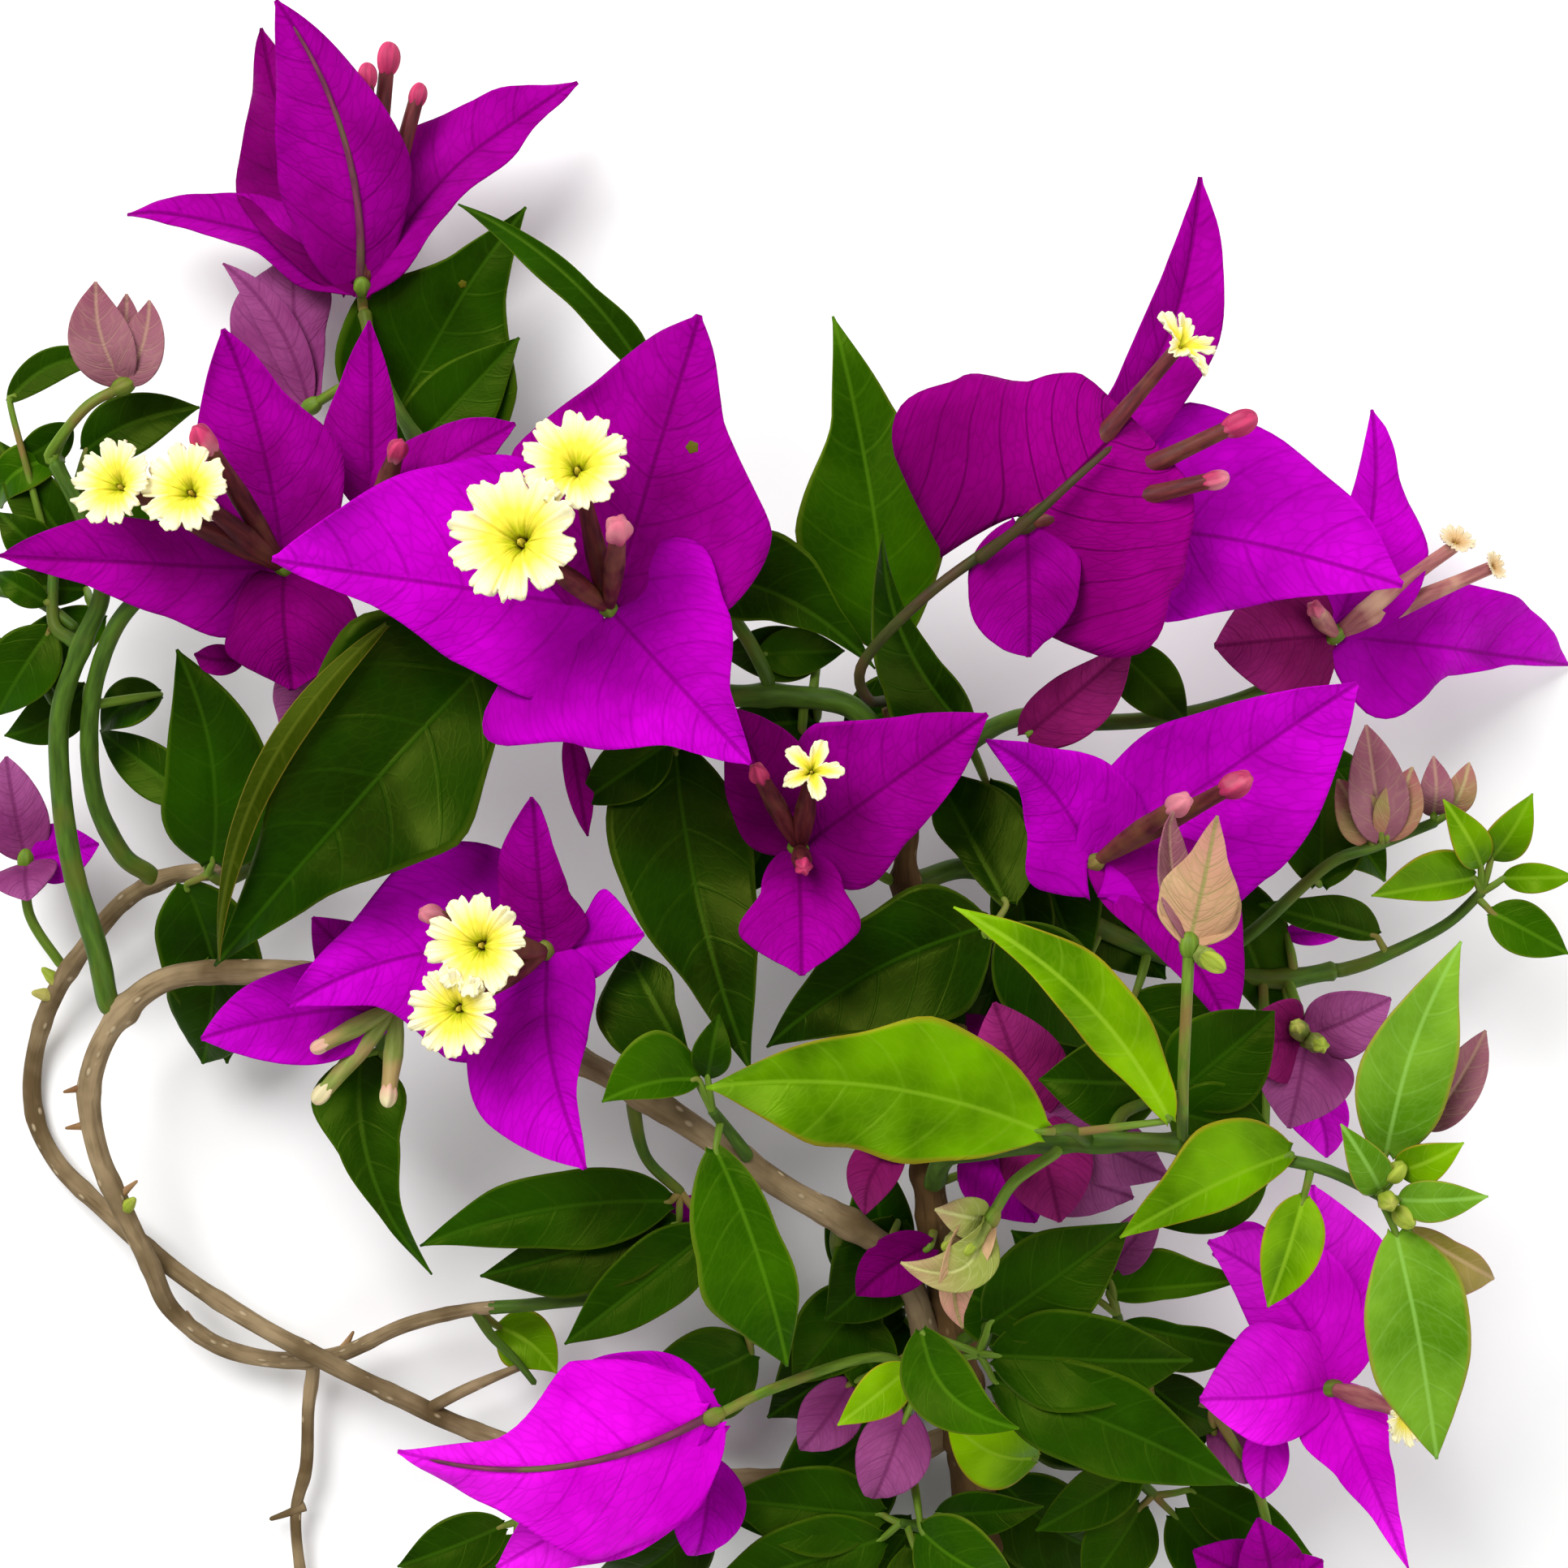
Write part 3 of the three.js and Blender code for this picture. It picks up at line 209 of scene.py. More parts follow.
def vein_masks(tree, vein_share, net_scale):
    """Midrib, side veins and the fine net between them, from the veins map of a blade."""
    whole, sideways, lengthways = map_of(tree, "veins")
    across = maths(tree, "ABSOLUTE", sideways)
    midrib = fade(tree, across, 0.002, 0.007, 1.0, 0.0)
    gap = maths(tree, "PINGPONG", lengthways, 0.5)
    side = fade(tree, gap, 0.02, vein_share, 1.0, 0.0)
    side = times(tree, side, fade(tree, across, 0.1, 0.42, 1.0, 0.35))
    spread = stretched(tree, "veins", net_scale, net_scale * 0.16)
    cells = add(tree, "ShaderNodeTexVoronoi", {"Vector": spread, "Scale": 1.0}, feature="DISTANCE_TO_EDGE")
    net = fade(tree, cells.outputs["Distance"], 0.0, 0.14, 1.0, 0.0)
    return maths(tree, "MAXIMUM", midrib, side), midrib, net


def noise(tree, place, scale, detail):
    return add(tree, "ShaderNodeTexNoise", {"Vector": place, "Scale": scale, "Detail": detail}).outputs[0]


def object_noise(tree, size_mm, detail=3.0):
    return noise(tree, add(tree, "ShaderNodeTexCoord").outputs["Object"], 1000 / size_mm, detail)


def leaf_skin(tree, blade, deep, vein, margin, roughness, gloss=0.35):
    """A living leaf blade: waxy and a little glossy, mottled, with paler veins and a thin paler margin."""
    main, midrib, net = vein_masks(tree, 0.05, 34)
    mottled = mix(tree, fade(tree, object_noise(tree, 14), 0.35, 0.65), deep, blade)
    netted = mix(tree, times(tree, net, 0.07), mottled, vein)
    sided = mix(tree, times(tree, main, 0.12), netted, vein)
    veined = mix(tree, times(tree, midrib, 0.38), sided, vein)
    edge = maths(tree, "ABSOLUTE", map_of(tree, "place")[1])
    edged = mix(tree, fade(tree, edge, 0.9, 1.0, 0.0, 0.7), veined, margin)
    height = maths(tree, "ADD", times(tree, main, -0.7), times(tree, net, -0.15))
    grain = maths(tree, "ADD", height, times(tree, object_noise(tree, 1.2, 2.0), 0.15))
    rough = (object_noise(tree, 5), roughness - 0.06, roughness + 0.08)
    close_skin(tree, edged, grain, (0.25, 0.0002), rough, (1.45, gloss, "#d2ec50"))


def bract_skin(tree, blade, deep, vein, tip, roughness=0.62, veining=0.3):
    """A papery bract: dry and softly matt, with a net of darker veins and brighter cells between them, and
    painted shade darkening it towards its foot in the heart of the bloom.
    """
    main, midrib, net = vein_masks(tree, 0.045, 26)
    lengthways = map_of(tree, "place")[2]
    mottled = mix(tree, fade(tree, object_noise(tree, 11), 0.35, 0.68), deep, blade)
    tinted = mix(tree, fade(tree, lengthways, 0.45, 1.0, 0.0, 0.6), mottled, tip)
    netted = mix(tree, times(tree, net, 0.18), tinted, vein)
    # Painted shade: the deep colour laid over the foot of the bract, where it sits in the heart of the bloom
    based = mix(tree, fade(tree, lengthways, 0.02, 0.4, 0.55, 0.0), netted, deep)
    sided = mix(tree, times(tree, main, veining), based, vein)
    veined = mix(tree, times(tree, midrib, veining + 0.15), sided, vein)
    height = maths(tree, "ADD", main, times(tree, net, 0.5))
    grain = maths(tree, "ADD", height, times(tree, object_noise(tree, 0.9, 2.0), 0.35))
    rough = (object_noise(tree, 4), roughness - 0.08, roughness + 0.08)
    close_skin(tree, veined, grain, (0.4, 0.00025), rough, (1.42, 0.05, "#ff78ff"))


def bark_skin(tree, light, deep, scar, roughness):
    """Thin young bark: dry, fibrous along the stem, with pale corky dots and darker cracks."""
    grain = noise(tree, stretched(tree, "veins", 60, 6), 1.0, 5.0)
    dots = stretched(tree, "veins", 26, 14)
    spots = add(tree, "ShaderNodeTexVoronoi", {"Vector": dots, "Scale": 1.0}).outputs["Distance"]
    based = mix(tree, fade(tree, object_noise(tree, 9), 0.35, 0.65), deep, light)
    lined = mix(tree, fade(tree, grain, 0.5, 0.72, 0.0, 0.75), based, deep)
    dotted = mix(tree, fade(tree, spots, 0.1, 0.2, 0.8, 0.0), lined, scar)
    height = maths(tree, "ADD", grain, times(tree, fade(tree, spots, 0.08, 0.22, 1.0, 0.0), 0.5))
    close_skin(tree, dotted, height, (0.7, 0.0005), (grain, roughness - 0.08, roughness + 0.08), (1.45, 0.2))


def stem_skin(tree, light, deep, flush):
    """A soft green stalk with fine down along it, flushed with colour in places."""
    grain = noise(tree, stretched(tree, "veins", 50, 8), 1.0, 4.0)
    based = mix(tree, fade(tree, grain, 0.35, 0.65), deep, light)
    flushed = mix(tree, fade(tree, object_noise(tree, 8), 0.5, 0.66, 0.0, 0.7), based, flush)
    close_skin(tree, flushed, grain, (0.5, 0.0003), (object_noise(tree, 3), 0.49, 0.63), (1.45, 0.25))


def star_skin(tree, lobe, mid, heart, throat):
    """A small waxy corolla: cream lobes, a green-yellow star at the middle and a dark throat."""
    around, outwards = map_of(tree, "place")[1:]
    turn = times(tree, around, 20 * math.pi)
    rays = times(tree, maths(tree, "COSINE", turn), -0.07)
    reach = maths(tree, "ADD", outwards, rays)
    outer = mix(tree, fade(tree, reach, 0.45, 0.9), mid, lobe)
    inner = mix(tree, fade(tree, reach, 0.1, 0.32), heart, outer)
    deep = mix(tree, fade(tree, outwards, 0.02, 0.09), throat, inner)
    folds = times(tree, maths(tree, "SINE", times(tree, turn, 8.0)), outwards)
    fine = maths(tree, "ADD", folds, object_noise(tree, 0.8, 2.0))
    close_skin(tree, deep, fine, (0.3, 0.0002), (object_noise(tree, 2), 0.42, 0.58), (1.42, 0.15))


def paper_skin(tree):
    """The studio floor: pale matt paper, barely mottled."""
    tint = mix(tree, fade(tree, object_noise(tree, 60), 0.4, 0.6), "#fbfbfa", "#f8f8f7")
    close_material(tree, {"Base Color": tint, "Roughness": 0.9})


# Each skin with its finishes: short name, material's name, and what the skin takes
SKINS = [
    (leaf_skin, "leaf_", [
        ("deep", "waxy_deep_leaf", "#0f3000", "#081e00", "#2c5208", "#44580e", 0.36, 0.2),
        ("dark", "waxy_dark_leaf", "#1b4200", "#0f2a00", "#345a0c", "#47600c", 0.38, 0.2),
        ("mid", "waxy_green_leaf", "#2f5a00", "#1d4400", "#528012", "#6a7d1c", 0.38, 0.16),
        ("fresh", "fresh_green_leaf", "#649600", "#345a00", "#7ca420", "#9a7c20", 0.32, 0.24),
        ("lime", "lime_green_leaf", "#80b000", "#467200", "#92b82c", "#a88424", 0.32, 0.24),
        ("light", "light_young_leaf", "#76a42a", "#4a780e", "#94c45c", "#a08c38", 0.34, 0.18),
        ("rim", "olive_rolled_rim", "#303e04", "#1e2c00", "#545e18", "#8c7c28", 0.42, 0.15),
        ("flushed", "flushed_young_leaf", "#a08850", "#7c7030", "#c4a080", "#b86a70", 0.45),
        ("under", "pale_leaf_underside", "#47692a", "#35541a", "#74944c", "#607c36", 0.6, 0.1),
    ]),
    (bract_skin, "bract_", [
        # deep is the magenta in painted shade, and bright and hot are the magenta in painted light, dealt to
        # each bract by how it is lit
        ("deep", "papery_magenta_painted_shade", "#7e0068", "#5c004a", "#460034", "#8c0076"),
        ("magenta", "papery_magenta", "#9e0092", "#7a006a", "#580048", "#aa00a2"),
        ("bright", "papery_magenta_painted_light", "#c000c2", "#960094", "#720068", "#ca08d0"),
        ("hot", "papery_sunlit_magenta", "#e40ce0", "#be02ba", "#940090", "#ee28ee"),
        ("pale", "papery_pale_mauve", "#984a80", "#7c3066", "#642050", "#a65a92"),
        ("wine", "papery_wine_bract", "#8c1c62", "#6a1048", "#540a38", "#a03078"),
        ("lined", "papery_lined_magenta", "#94007c", "#7c0064", "#40002c", "#9c0088", 0.62, 0.6),
        ("bud", "papery_mauve_bud", "#9c6872", "#7c4856", "#b08e78", "#8e4a60"),
        ("mixed", "papery_green_rose_bud", "#90804e", "#a06458", "#b4a876", "#a44c6c"),
        ("blush", "papery_blush", "#d0ac84", "#b48868", "#74863a", "#b86a78"),
        ("green", "papery_green_bud", "#9aa050", "#7c8836", "#bcc07c", "#b87c7c"),
        ("under", "papery_magenta_underside", "#a0148e", "#7e0c6c", "#60044c", "#a8289a"),
    ]),
    (bark_skin, "", [
        ("bark", "thin_grey_brown_bark", "#9a8564", "#5e4c30", "#b8a584", 0.82),
        ("bark_painted_shade", "shaded_brown_bark", "#6e5230", "#46321a", "#8c7450", 0.85),
    ]),
    (stem_skin, "", [
        ("rib", "brown_rose_rib", "#7c3a50", "#52203a", "#56601c"),
        ("green_stem", "green_shoot_skin", "#4c6e18", "#344f0a", "#5a6018"),
        ("stalk_dark", "dark_olive_stalk", "#3c4210", "#282c08", "#4c2a20"),
        ("stalk", "yellow_green_stalk_skin", "#6e8c28", "#4f6c12", "#86603a"),
        ("thorn", "tan_thorn_skin", "#a8845a", "#80603a", "#6a4424"),
        ("tube_maroon", "maroon_flower_tube", "#6e2c2c", "#401018", "#7a5030"),
        ("tube_green", "green_flower_tube", "#8c9a4a", "#6a7a2c", "#b08c60"),
        ("tube_faded", "withered_flower_tube", "#b4786c", "#8a4a50", "#d8b490"),
        ("bud_pink", "pink_closed_bud", "#cc3c6a", "#8c1c48", "#dc9098"),
        ("bud_green", "green_closed_bud", "#a6b440", "#7e9024", "#c0a868"),
        ("bud_cream", "cream_closed_bud", "#e4d8ac", "#c4b888", "#d08c84"),
        ("pistil", "yellow_pistil", "#e8d45a", "#b89c28", "#c8a040"),
    ]),
    (star_skin, "", [
        ("star", "cream_flower_star", "#f8f0c4", "#f0e04a", "#c0c41c", "#5c5a04"),
        ("star_faded", "withered_flower_star", "#e8d8b4", "#d4b07c", "#a87a3c", "#5c3018"),
    ]),
]
FINISHES = {kind + short: new_material(name, skin, *values)
            for skin, kind, rows in SKINS for short, name, *values in rows}


# Patterns: what repeats is shaped once from a primitive, and each copy is bent to its own place
def thicken(sheet, thickness):
    bpy.ops.object.modifier_add(type="SOLIDIFY")
    wall = sheet.modifiers[-1]
    wall.thickness = thickness
    wall.offset = 0
    bpy.ops.object.modifier_apply(modifier=wall.name)


def grid_pattern(name, columns, rows, thickness=0.0):
    """A flat sheet from -1 to 1 each way, with a wall of its thickness, kept off the branch."""
    bpy.ops.mesh.primitive_grid_add(x_subdivisions=columns, y_subdivisions=rows, size=2)
    sheet = bpy.context.object
    sheet.name = name
    if thickness:
        thicken(sheet, thickness)
    return sheet


def places_of(pattern):
    flat = np.empty(len(pattern.data.vertices) * 3)
    pattern.data.vertices.foreach_get("co", flat)
    return flat.reshape(-1, 3)


def weld(sheet, points):
    """Moves a sheet's points, and joins those that meet."""
    sheet.data.vertices.foreach_set("co", points.ravel())
    bpy.ops.object.mode_set(mode="EDIT")
    bpy.ops.mesh.select_all(action="SELECT")
    bpy.ops.mesh.remove_doubles(threshold=0.0001)


def rod_pattern(name, sides, rings):
    """A round rod of radius 1: a sheet rolled up, joined at its seam and closed at both ends."""
    sheet = grid_pattern(name, sides, rings)
    flat = places_of(sheet)
    turn = (flat[:, 0] + 1) * math.pi
    weld(sheet, np.stack([np.cos(turn), np.sin(turn), flat[:, 1]], 1))
    bpy.ops.mesh.select_all(action="DESELECT")
    bpy.ops.mesh.select_mode(type="EDGE")
    bpy.ops.mesh.select_non_manifold()
    bpy.ops.mesh.fill_holes(sides=0)
    bpy.ops.mesh.select_all(action="SELECT")
    bpy.ops.mesh.normals_make_consistent(inside=False)
    bpy.ops.mesh.select_mode(type="VERT")
    bpy.ops.object.mode_set(mode="OBJECT")
    return sheet


def fresh_copy(pattern, points, materials):
    """A copy of a pattern with its own mesh, at points in millimetres."""
    piece = pattern.copy()
    piece.data = pattern.data.copy()
    bpy.context.collection.objects.link(piece)
    piece.data.vertices.foreach_set("co", (points * MM).ravel())
    piece.data.materials.clear()
    for material in materials:
        piece.data.materials.append(FINISHES[material])
    return piece


def copy_of(pattern, points, veins, place, materials):
    """A fresh copy with two maps, one value a vertex."""
    piece = fresh_copy(pattern, points, materials)
    mesh = piece.data
    loops = np.empty(len(mesh.loops), int)
    mesh.loops.foreach_get("vertex_index", loops)
    while mesh.uv_layers:
        mesh.uv_layers.remove(mesh.uv_layers[0])
    for label, values in (("veins", veins), ("place", place)):
        layer = mesh.uv_layers.new(name=label)
        layer.uv.foreach_set("vector", np.stack(values, 1)[loops].astype(np.float32).ravel())
    mesh.update()
    return piece


def join(name, pieces):
    """Joins pieces of one kind under one name, smooth shaded."""
    bpy.ops.object.select_all(action="DESELECT")
    for piece in pieces:
        piece.select_set(True)
    bpy.context.view_layer.objects.active = pieces[0]
    if len(pieces) > 1:
        bpy.ops.object.join()
    joined = bpy.context.object
    joined.name = name
    joined.data.name = name
    bpy.ops.object.shade_smooth()
    bpy.ops.object.select_all(action="DESELECT")
    return joined


def finish_piece(name, pieces, node):
    piece = join(name, pieces)
    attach(piece, "root")
    if node:
        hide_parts(*node)


LEAF = grid_pattern("leaf_pattern", 18, 34, LEAF_THICKNESS)
BRACT = grid_pattern("bract_pattern", 26, 38, BRACT_THICKNESS)
for pattern in (LEAF, BRACT):
    for face in pattern.data.polygons:
        face.material_index = 1 if face.normal.z < -0.5 else 0
LIMB_ROD = rod_pattern("limb_pattern", 20, 260)
STALK_ROD = rod_pattern("stalk_pattern", 10, 34)
bpy.ops.mesh.primitive_uv_sphere_add(segments=20, ring_count=14, radius=1)
KNOB = bpy.context.object
KNOB.name = "knob_pattern"


def turned(vectors, axes, angles):
    """Vectors turned about unit axes by angles in radians, row by row."""
    c, s = np.cos(angles)[:, None], np.sin(angles)[:, None]
    dots = (vectors * axes).sum(1, keepdims=True)
    return vectors * c + np.cross(axes, vectors) * s + axes * dots * (1 - c)


# What a leaf and a bract have for outline and lobe, and for relief, in shares of the width or in millimetres
LEAF_FORM = {"pattern": LEAF, "shape": (0.72, 1.15), "lobe": 0.06, "rim": 0.024, "step": 4.2,
             "quilt": (0.08, 0.03), "rib": 0.22, "ruffle": 0.024, "power": 2, "crumple": 0.26}
BRACT_FORM = {"pattern": BRACT, "shape": (0.6, 0.95), "lobe": 0.12, "rim": 0.018, "step": 3.0,
              "quilt": (0.15, 0.06), "rib": 0.4, "ruffle": 0.042, "power": 3, "crumple": 0.36}
# Shares of a blade's length at which the half widths of its two sides may be given
STATIONS = (0.12, 0.4, 0.7)
# Finish of the back, where a blade's own isn't the usual one
UNDER = {"bract_blush": "bract_blush", "bract_pale": "bract_pale", "bract_bud": "bract_bud"}


def half_width(shape, u):
    foot, tip = shape
    widest = foot / (foot + tip)
    peak = widest ** foot * (1 - widest) ** tip
    return u ** foot * (1 - u) ** tip / peak / 2


def side_width(shape, width, sides, u, v):
    """Half the width of a blade at each point, eased from station to station where its sides are given."""
    plain = width * half_width(shape, np.clip(u, 0.012, 0.992))
    if not sides:
        return plain + EDGE
    within = width * half_width(shape, np.array(STATIONS))
    smooth = np.clip(u, STATIONS[0], STATIONS[-1])
    for start, stop in zip(STATIONS, STATIONS[1:]):
        share = np.clip((smooth - start) / (stop - start), 0, 1)
        eased = start + (stop - start) * (0.5 * share + 0.5 * share * share * (3 - 2 * share))
        smooth = np.where((smooth >= start) & (smooth <= stop), eased, smooth)
    left, right = [np.interp(smooth, STATIONS, np.array(side) / within) for side in sides]
    return plain * np.where(v < 0, right, left) + EDGE


def bent_axis(foot, tip, bends):
    """The sideways direction of a blade, and the point that draws its midrib into a bow."""
    chord = unit(tip - foot)
    across = unit(np.array([-chord[1], chord[0], 0.0]))
    across = turned(across[None], chord[None], np.array([math.radians(bends.get("roll", 0))]))[0]
    up = np.cross(chord, across)
    return across, (foot + tip) / 2 + up * 2 * bends.get("bow", 1) + across * 2 * bends.get("sway", 0)


def bow_of(foot, knee, tip, s):
    return (1 - s) ** 2 * foot + 2 * s * (1 - s) * knee + s ** 2 * tip


def blade(foot, tip, width, bends, dice, tone):
    """A leaf or bract bent as in the source, with its veins, quilting, ruffled edge and crumple as relief."""
    is_leaf = tone.startswith("leaf")
    form = LEAF_FORM if is_leaf else BRACT_FORM
    under = "leaf_under" if is_leaf else UNDER.get(tone, "bract_under")
    v, lengthways, height = places_of(form["pattern"]).T
    u = (lengthways + 1) / 2
    u = 0.6 * u + 0.4 * (0.5 - 0.5 * np.cos(math.pi * u))
    fold = math.radians(bends.get("fold", 8))
    across, knee = bent_axis(foot, tip, bends)
    s = u[:, None]
    midrib = bow_of(foot, knee, tip, s)
    along = unit(2 * (1 - s) * (knee - foot) + 2 * s * (tip - knee))
    side = unit(across - along * (along @ across)[:, None])
    side = turned(side, along, math.radians(bends.get("twist", 0)) * u)
    length = np.linalg.norm(tip - foot)
    half = side_width(bends.get("shape", form["shape"]), width, bends.get("sides"), u, v)
    # Sines with random starts and wave lengths in millimetres: the rim's wave, its ruffle, a crumple all over
    a = dice.uniform(0, 2 * math.pi, 12)
    sign = np.sign(v)
    rim = np.abs(v)
    wave = np.sin(u * length / 3.1 + a[0] + sign * a[1]) + 0.6 * np.sin(u * length / 1.7 + a[2])
    swing = bends.get("ruffle", 1)
    half = half * (1 + form["rim"] * min(swing, 2.4) * wave * rim)
    x = half * v
    y = u * length
    # Side veins slant to the tip, a spacing apart, and the blade is quilted between them
    spacing = 0.13 * length + 1.5
    line = (y - 0.9 * np.abs(x) * (0.5 + 0.5 * rim)) / spacing + 0.5
    gap = np.abs(line - np.round(line)) * spacing
    inner = np.clip(np.minimum(u / 0.12, (1 - u) / 0.1), 0, 1)
    flank = np.clip(np.abs(x) / 1.5, 0, 1)
    ruffle = np.sin(y / form["step"] + a[3] + sign * a[4]) + 0.5 * np.sin(y / 1.9 + a[5] - sign * a[6])
    crumple = np.sin(x / 3.7 + y / 5.1 + a[7]) + np.sin(x / 5.3 - y / 3.3 + a[8])
    groove, pillow = form["quilt"]
    relief = (pillow - groove * np.exp(-(gap / 1.3) ** 2)) * inner * flank
    relief = relief - form["rib"] * np.exp(-(x / 0.8) ** 2) * inner
    relief = relief + form["ruffle"] * width * ruffle * swing * rim ** form["power"] * inner
    relief = (relief + form["crumple"] * crumple * inner) * min(1.0, width / 12)
    lift = half * rim * math.sin(fold) + relief + height
    lobe = bends.get("lobe", form["lobe"]) * width * v ** 2 * (1 - u) ** 4
    points = midrib + side * (x * math.cos(fold))[:, None] + np.cross(along, side) * lift[:, None]
    return copy_of(form["pattern"], points - along * lobe[:, None], [x * 0.02, line], [v, u], [tone, under])


def rod(line, radii, tone, pattern=STALK_ROD, stretch=(0.0, 1.0), rough=0.0, dice=None, swellings=(),
        round_end=True):
    """A round stem along a line, with ridged bark, a rounded end and swellings where something leaves it."""
    flat = places_of(pattern)
    turn = np.arctan2(flat[:, 1], flat[:, 0])
    share = stretch[0] + (stretch[1] - stretch[0]) * (flat[:, 2] + 1) / 2
    stations = np.unique(np.round(share, 7))
    centres = line.at(stations)
    aims = line.along(stations)
    normals = np.empty_like(centres)
    start = UP if abs(aims[0][2]) < 0.9 else np.array([1.0, 0.0, 0.0])
    for i, aim in enumerate(aims):
        start = unit(start - aim * (start @ aim))
        normals[i] = start
    row = np.searchsorted(stations, np.round(share, 7))
    radius = radius_at(radii, share)
    mm = share * line.length
    for place, size in swellings:
        radius = radius * (1 + size * np.exp(-((mm - place * line.length) / 1.6) ** 2))
    if rough:
        # Ridges that wander along the bark, and lumps with a swollen ring every 13 mm
        a = dice.uniform(0, 2 * math.pi, 10)
        ridges = np.sin(5 * turn + 0.35 * np.sin(mm / 4 + a[0]) * 3 + a[1])
        ridges = ridges + 0.6 * np.sin(9 * turn - mm / 3.3 + a[2]) * np.sin(mm / 6 + a[3])
        lumps = np.sin(mm / 2.3 + 2 * turn + a[4]) + np.sin(mm / 5.7 - turn + a[5])
        lumps = lumps + 2.2 * np.exp(-(((mm + 3 * a[6]) % 13 - 6.5) / 1.1) ** 2)
        radius = radius * (1 + rough * (0.5 * ridges + 0.7 * lumps))
    if round_end:
        last = (1 - (share - stretch[0]) / (stretch[1] - stretch[0])) * line.length
        radius = radius * np.sqrt(np.clip(last / np.maximum(radius_at(radii, share) * 0.8, 0.1), 0.04, 1))
    points = centres[row] + normals[row] * (np.cos(turn) * radius)[:, None]
    points = points + np.cross(aims[row], normals[row]) * (np.sin(turn) * radius)[:, None]
    wrap = turn / math.pi * radius.mean() * 3.14
    return copy_of(pattern, points, [wrap * 0.02, mm * 0.02], [turn / math.pi, share], [tone])


def raised_rib(foot, tip, bends, tone):
    """The thick midrib that stands out on the outer side of a bract."""
    knee = bent_axis(foot, tip, bends)[1]
    steps = [bow_of(foot, knee, tip, s) for s in np.linspace(0.0, 0.9, 9)]
    return rod(Line(steps), [0.62, 0.5, 0.42, 0.34, 0.2], tone)


def aimed(direction):
    return np.array(Vector((0, 0, 1)).rotation_difference(Vector(direction)).to_matrix())


def knob(centre, direction, radius, length, tone, ribs=0.06, neck=0.0):
    """A small closed bud: egg-shaped, five soft ribs, drawn in at its foot."""
    x, y, z = places_of(KNOB).T
    turn = np.arctan2(y, x)
    wide = radius * (1 + ribs * np.cos(5 * turn)) * (1 - neck * 0.5 * (1 - z))
    points = np.stack([x * wide, y * wide, z * length], 1) @ aimed(direction).T + centre
    return copy_of(KNOB, points, [turn * 0.02, z * length * 0.02], [turn / math.pi, z], [tone])


# Measures of an open star, in shares of its reach, and its reach in shares of a flower's breadth
THROAT = 0.07
CRIMP = 0.02
STAR_THICKNESS = 0.045
STAR_REACH = 0.485


def star_pattern(name, clefts, parting):
    """Five lobes round a funnel. clefts, parting: depth and breadth of the cuts between and in the lobes."""
    sheet = grid_pattern(name, 150, 12)
    flat = places_of(sheet)
    turn = (flat[:, 0] + 1) * math.pi
    r = (flat[:, 1] + 1) / 2
    middle = np.abs((turn * 5 / (2 * math.pi)) % 1 - 0.5)
    lobes = 1 - clefts[0] * np.exp(-((0.5 - middle) / clefts[1]) ** 2)
    lobes = lobes - parting[0] * np.exp(-(middle / parting[1]) ** 2)
    crimp = np.sin(31 * turn) + 0.8 * np.sin(17 * turn + 1) + 0.7 * np.sin(43 * turn + 2)
    reach = THROAT + (lobes + CRIMP * crimp - THROAT) * r
    rise = 0.13 * r ** 2 - 0.06 * np.cos(10 * turn) * r ** 2 - 0.45 * (1 - r) ** 5
    rise = rise + (0.05 * np.sin(23 * turn) + 0.045 * np.sin(37 * turn + 2)) * r ** 3
    sheet.data.uv_layers[0].name = "place"
    weld(sheet, np.stack([np.cos(turn) * reach, np.sin(turn) * reach, rise], 1))
    bpy.ops.mesh.normals_make_consistent(inside=False)
    bpy.ops.object.mode_set(mode="OBJECT")
    thicken(sheet, STAR_THICKNESS)
    return sheet


STAR = star_pattern("star_pattern", (0.28, 0.08), (0.17, 0.06))
STAR_POINTED = star_pattern("pointed_star_pattern", (0.6, 0.2), (-0.1, 0.12))


def star(pattern, centre, direction, breadth, dice, tone):
    """A copy of an open star, spun and ruffled by its own draw."""
    flat = places_of(pattern)
    spin = dice.uniform(0, 2 * math.pi)
    around = np.array(Matrix.Rotation(spin, 3, "Z"))
    flat[:, 2] *= 1 + 0.35 * np.sin(3 * np.arctan2(flat[:, 1], flat[:, 0]) + spin)
    shaped = flat * breadth * STAR_REACH
    piece = fresh_copy(pattern, shaped @ around.T @ aimed(direction).T + centre, [tone])
    veins = piece.data.uv_layers.new(name="veins")
    values = np.empty(len(piece.data.loops) * 2, np.float32)
    piece.data.uv_layers["place"].uv.foreach_get("vector", values)
    veins.uv.foreach_set("vector", values)
    return piece


def flower(heart, tip, size, facing, dice, pattern, tube_tone, star_tone, bud_tone):
    """A slender swollen tube from the heart of a bloom to its open star, or to a closed knob."""
    lean = unit(tip - heart)
    middle = (heart + tip) / 2 - UP
    if size > 0:
        aim = unit(np.array(facing[0], float)) if facing else unit(lean + 1.2 * UP)
        line = Line([heart, middle, tip - aim * size * 0.15])
        return [rod(line, [0.85, 1.3, 1.45, 1.15, 0.95, 0.9], tube_tone, round_end=False),
                star(pattern, tip + aim * size * 0.06, aim, size, dice, star_tone),
                knob(tip - aim * size * 0.12, aim, size * 0.03, size * 0.1, "pistil", 0.1)]
    return [rod(Line([heart, middle, tip]), [0.8, 1.2, 1.35, 1.1, 1.0], tube_tone),
            knob(tip - lean * 0.4, lean, -size * 0.88, -size * 1.35, bud_tone, 0.16, 0.15)]


def out_from(centre, tip):
    return centre + unit(tip - centre) * RECEPTACLE_RADIUS * 0.55


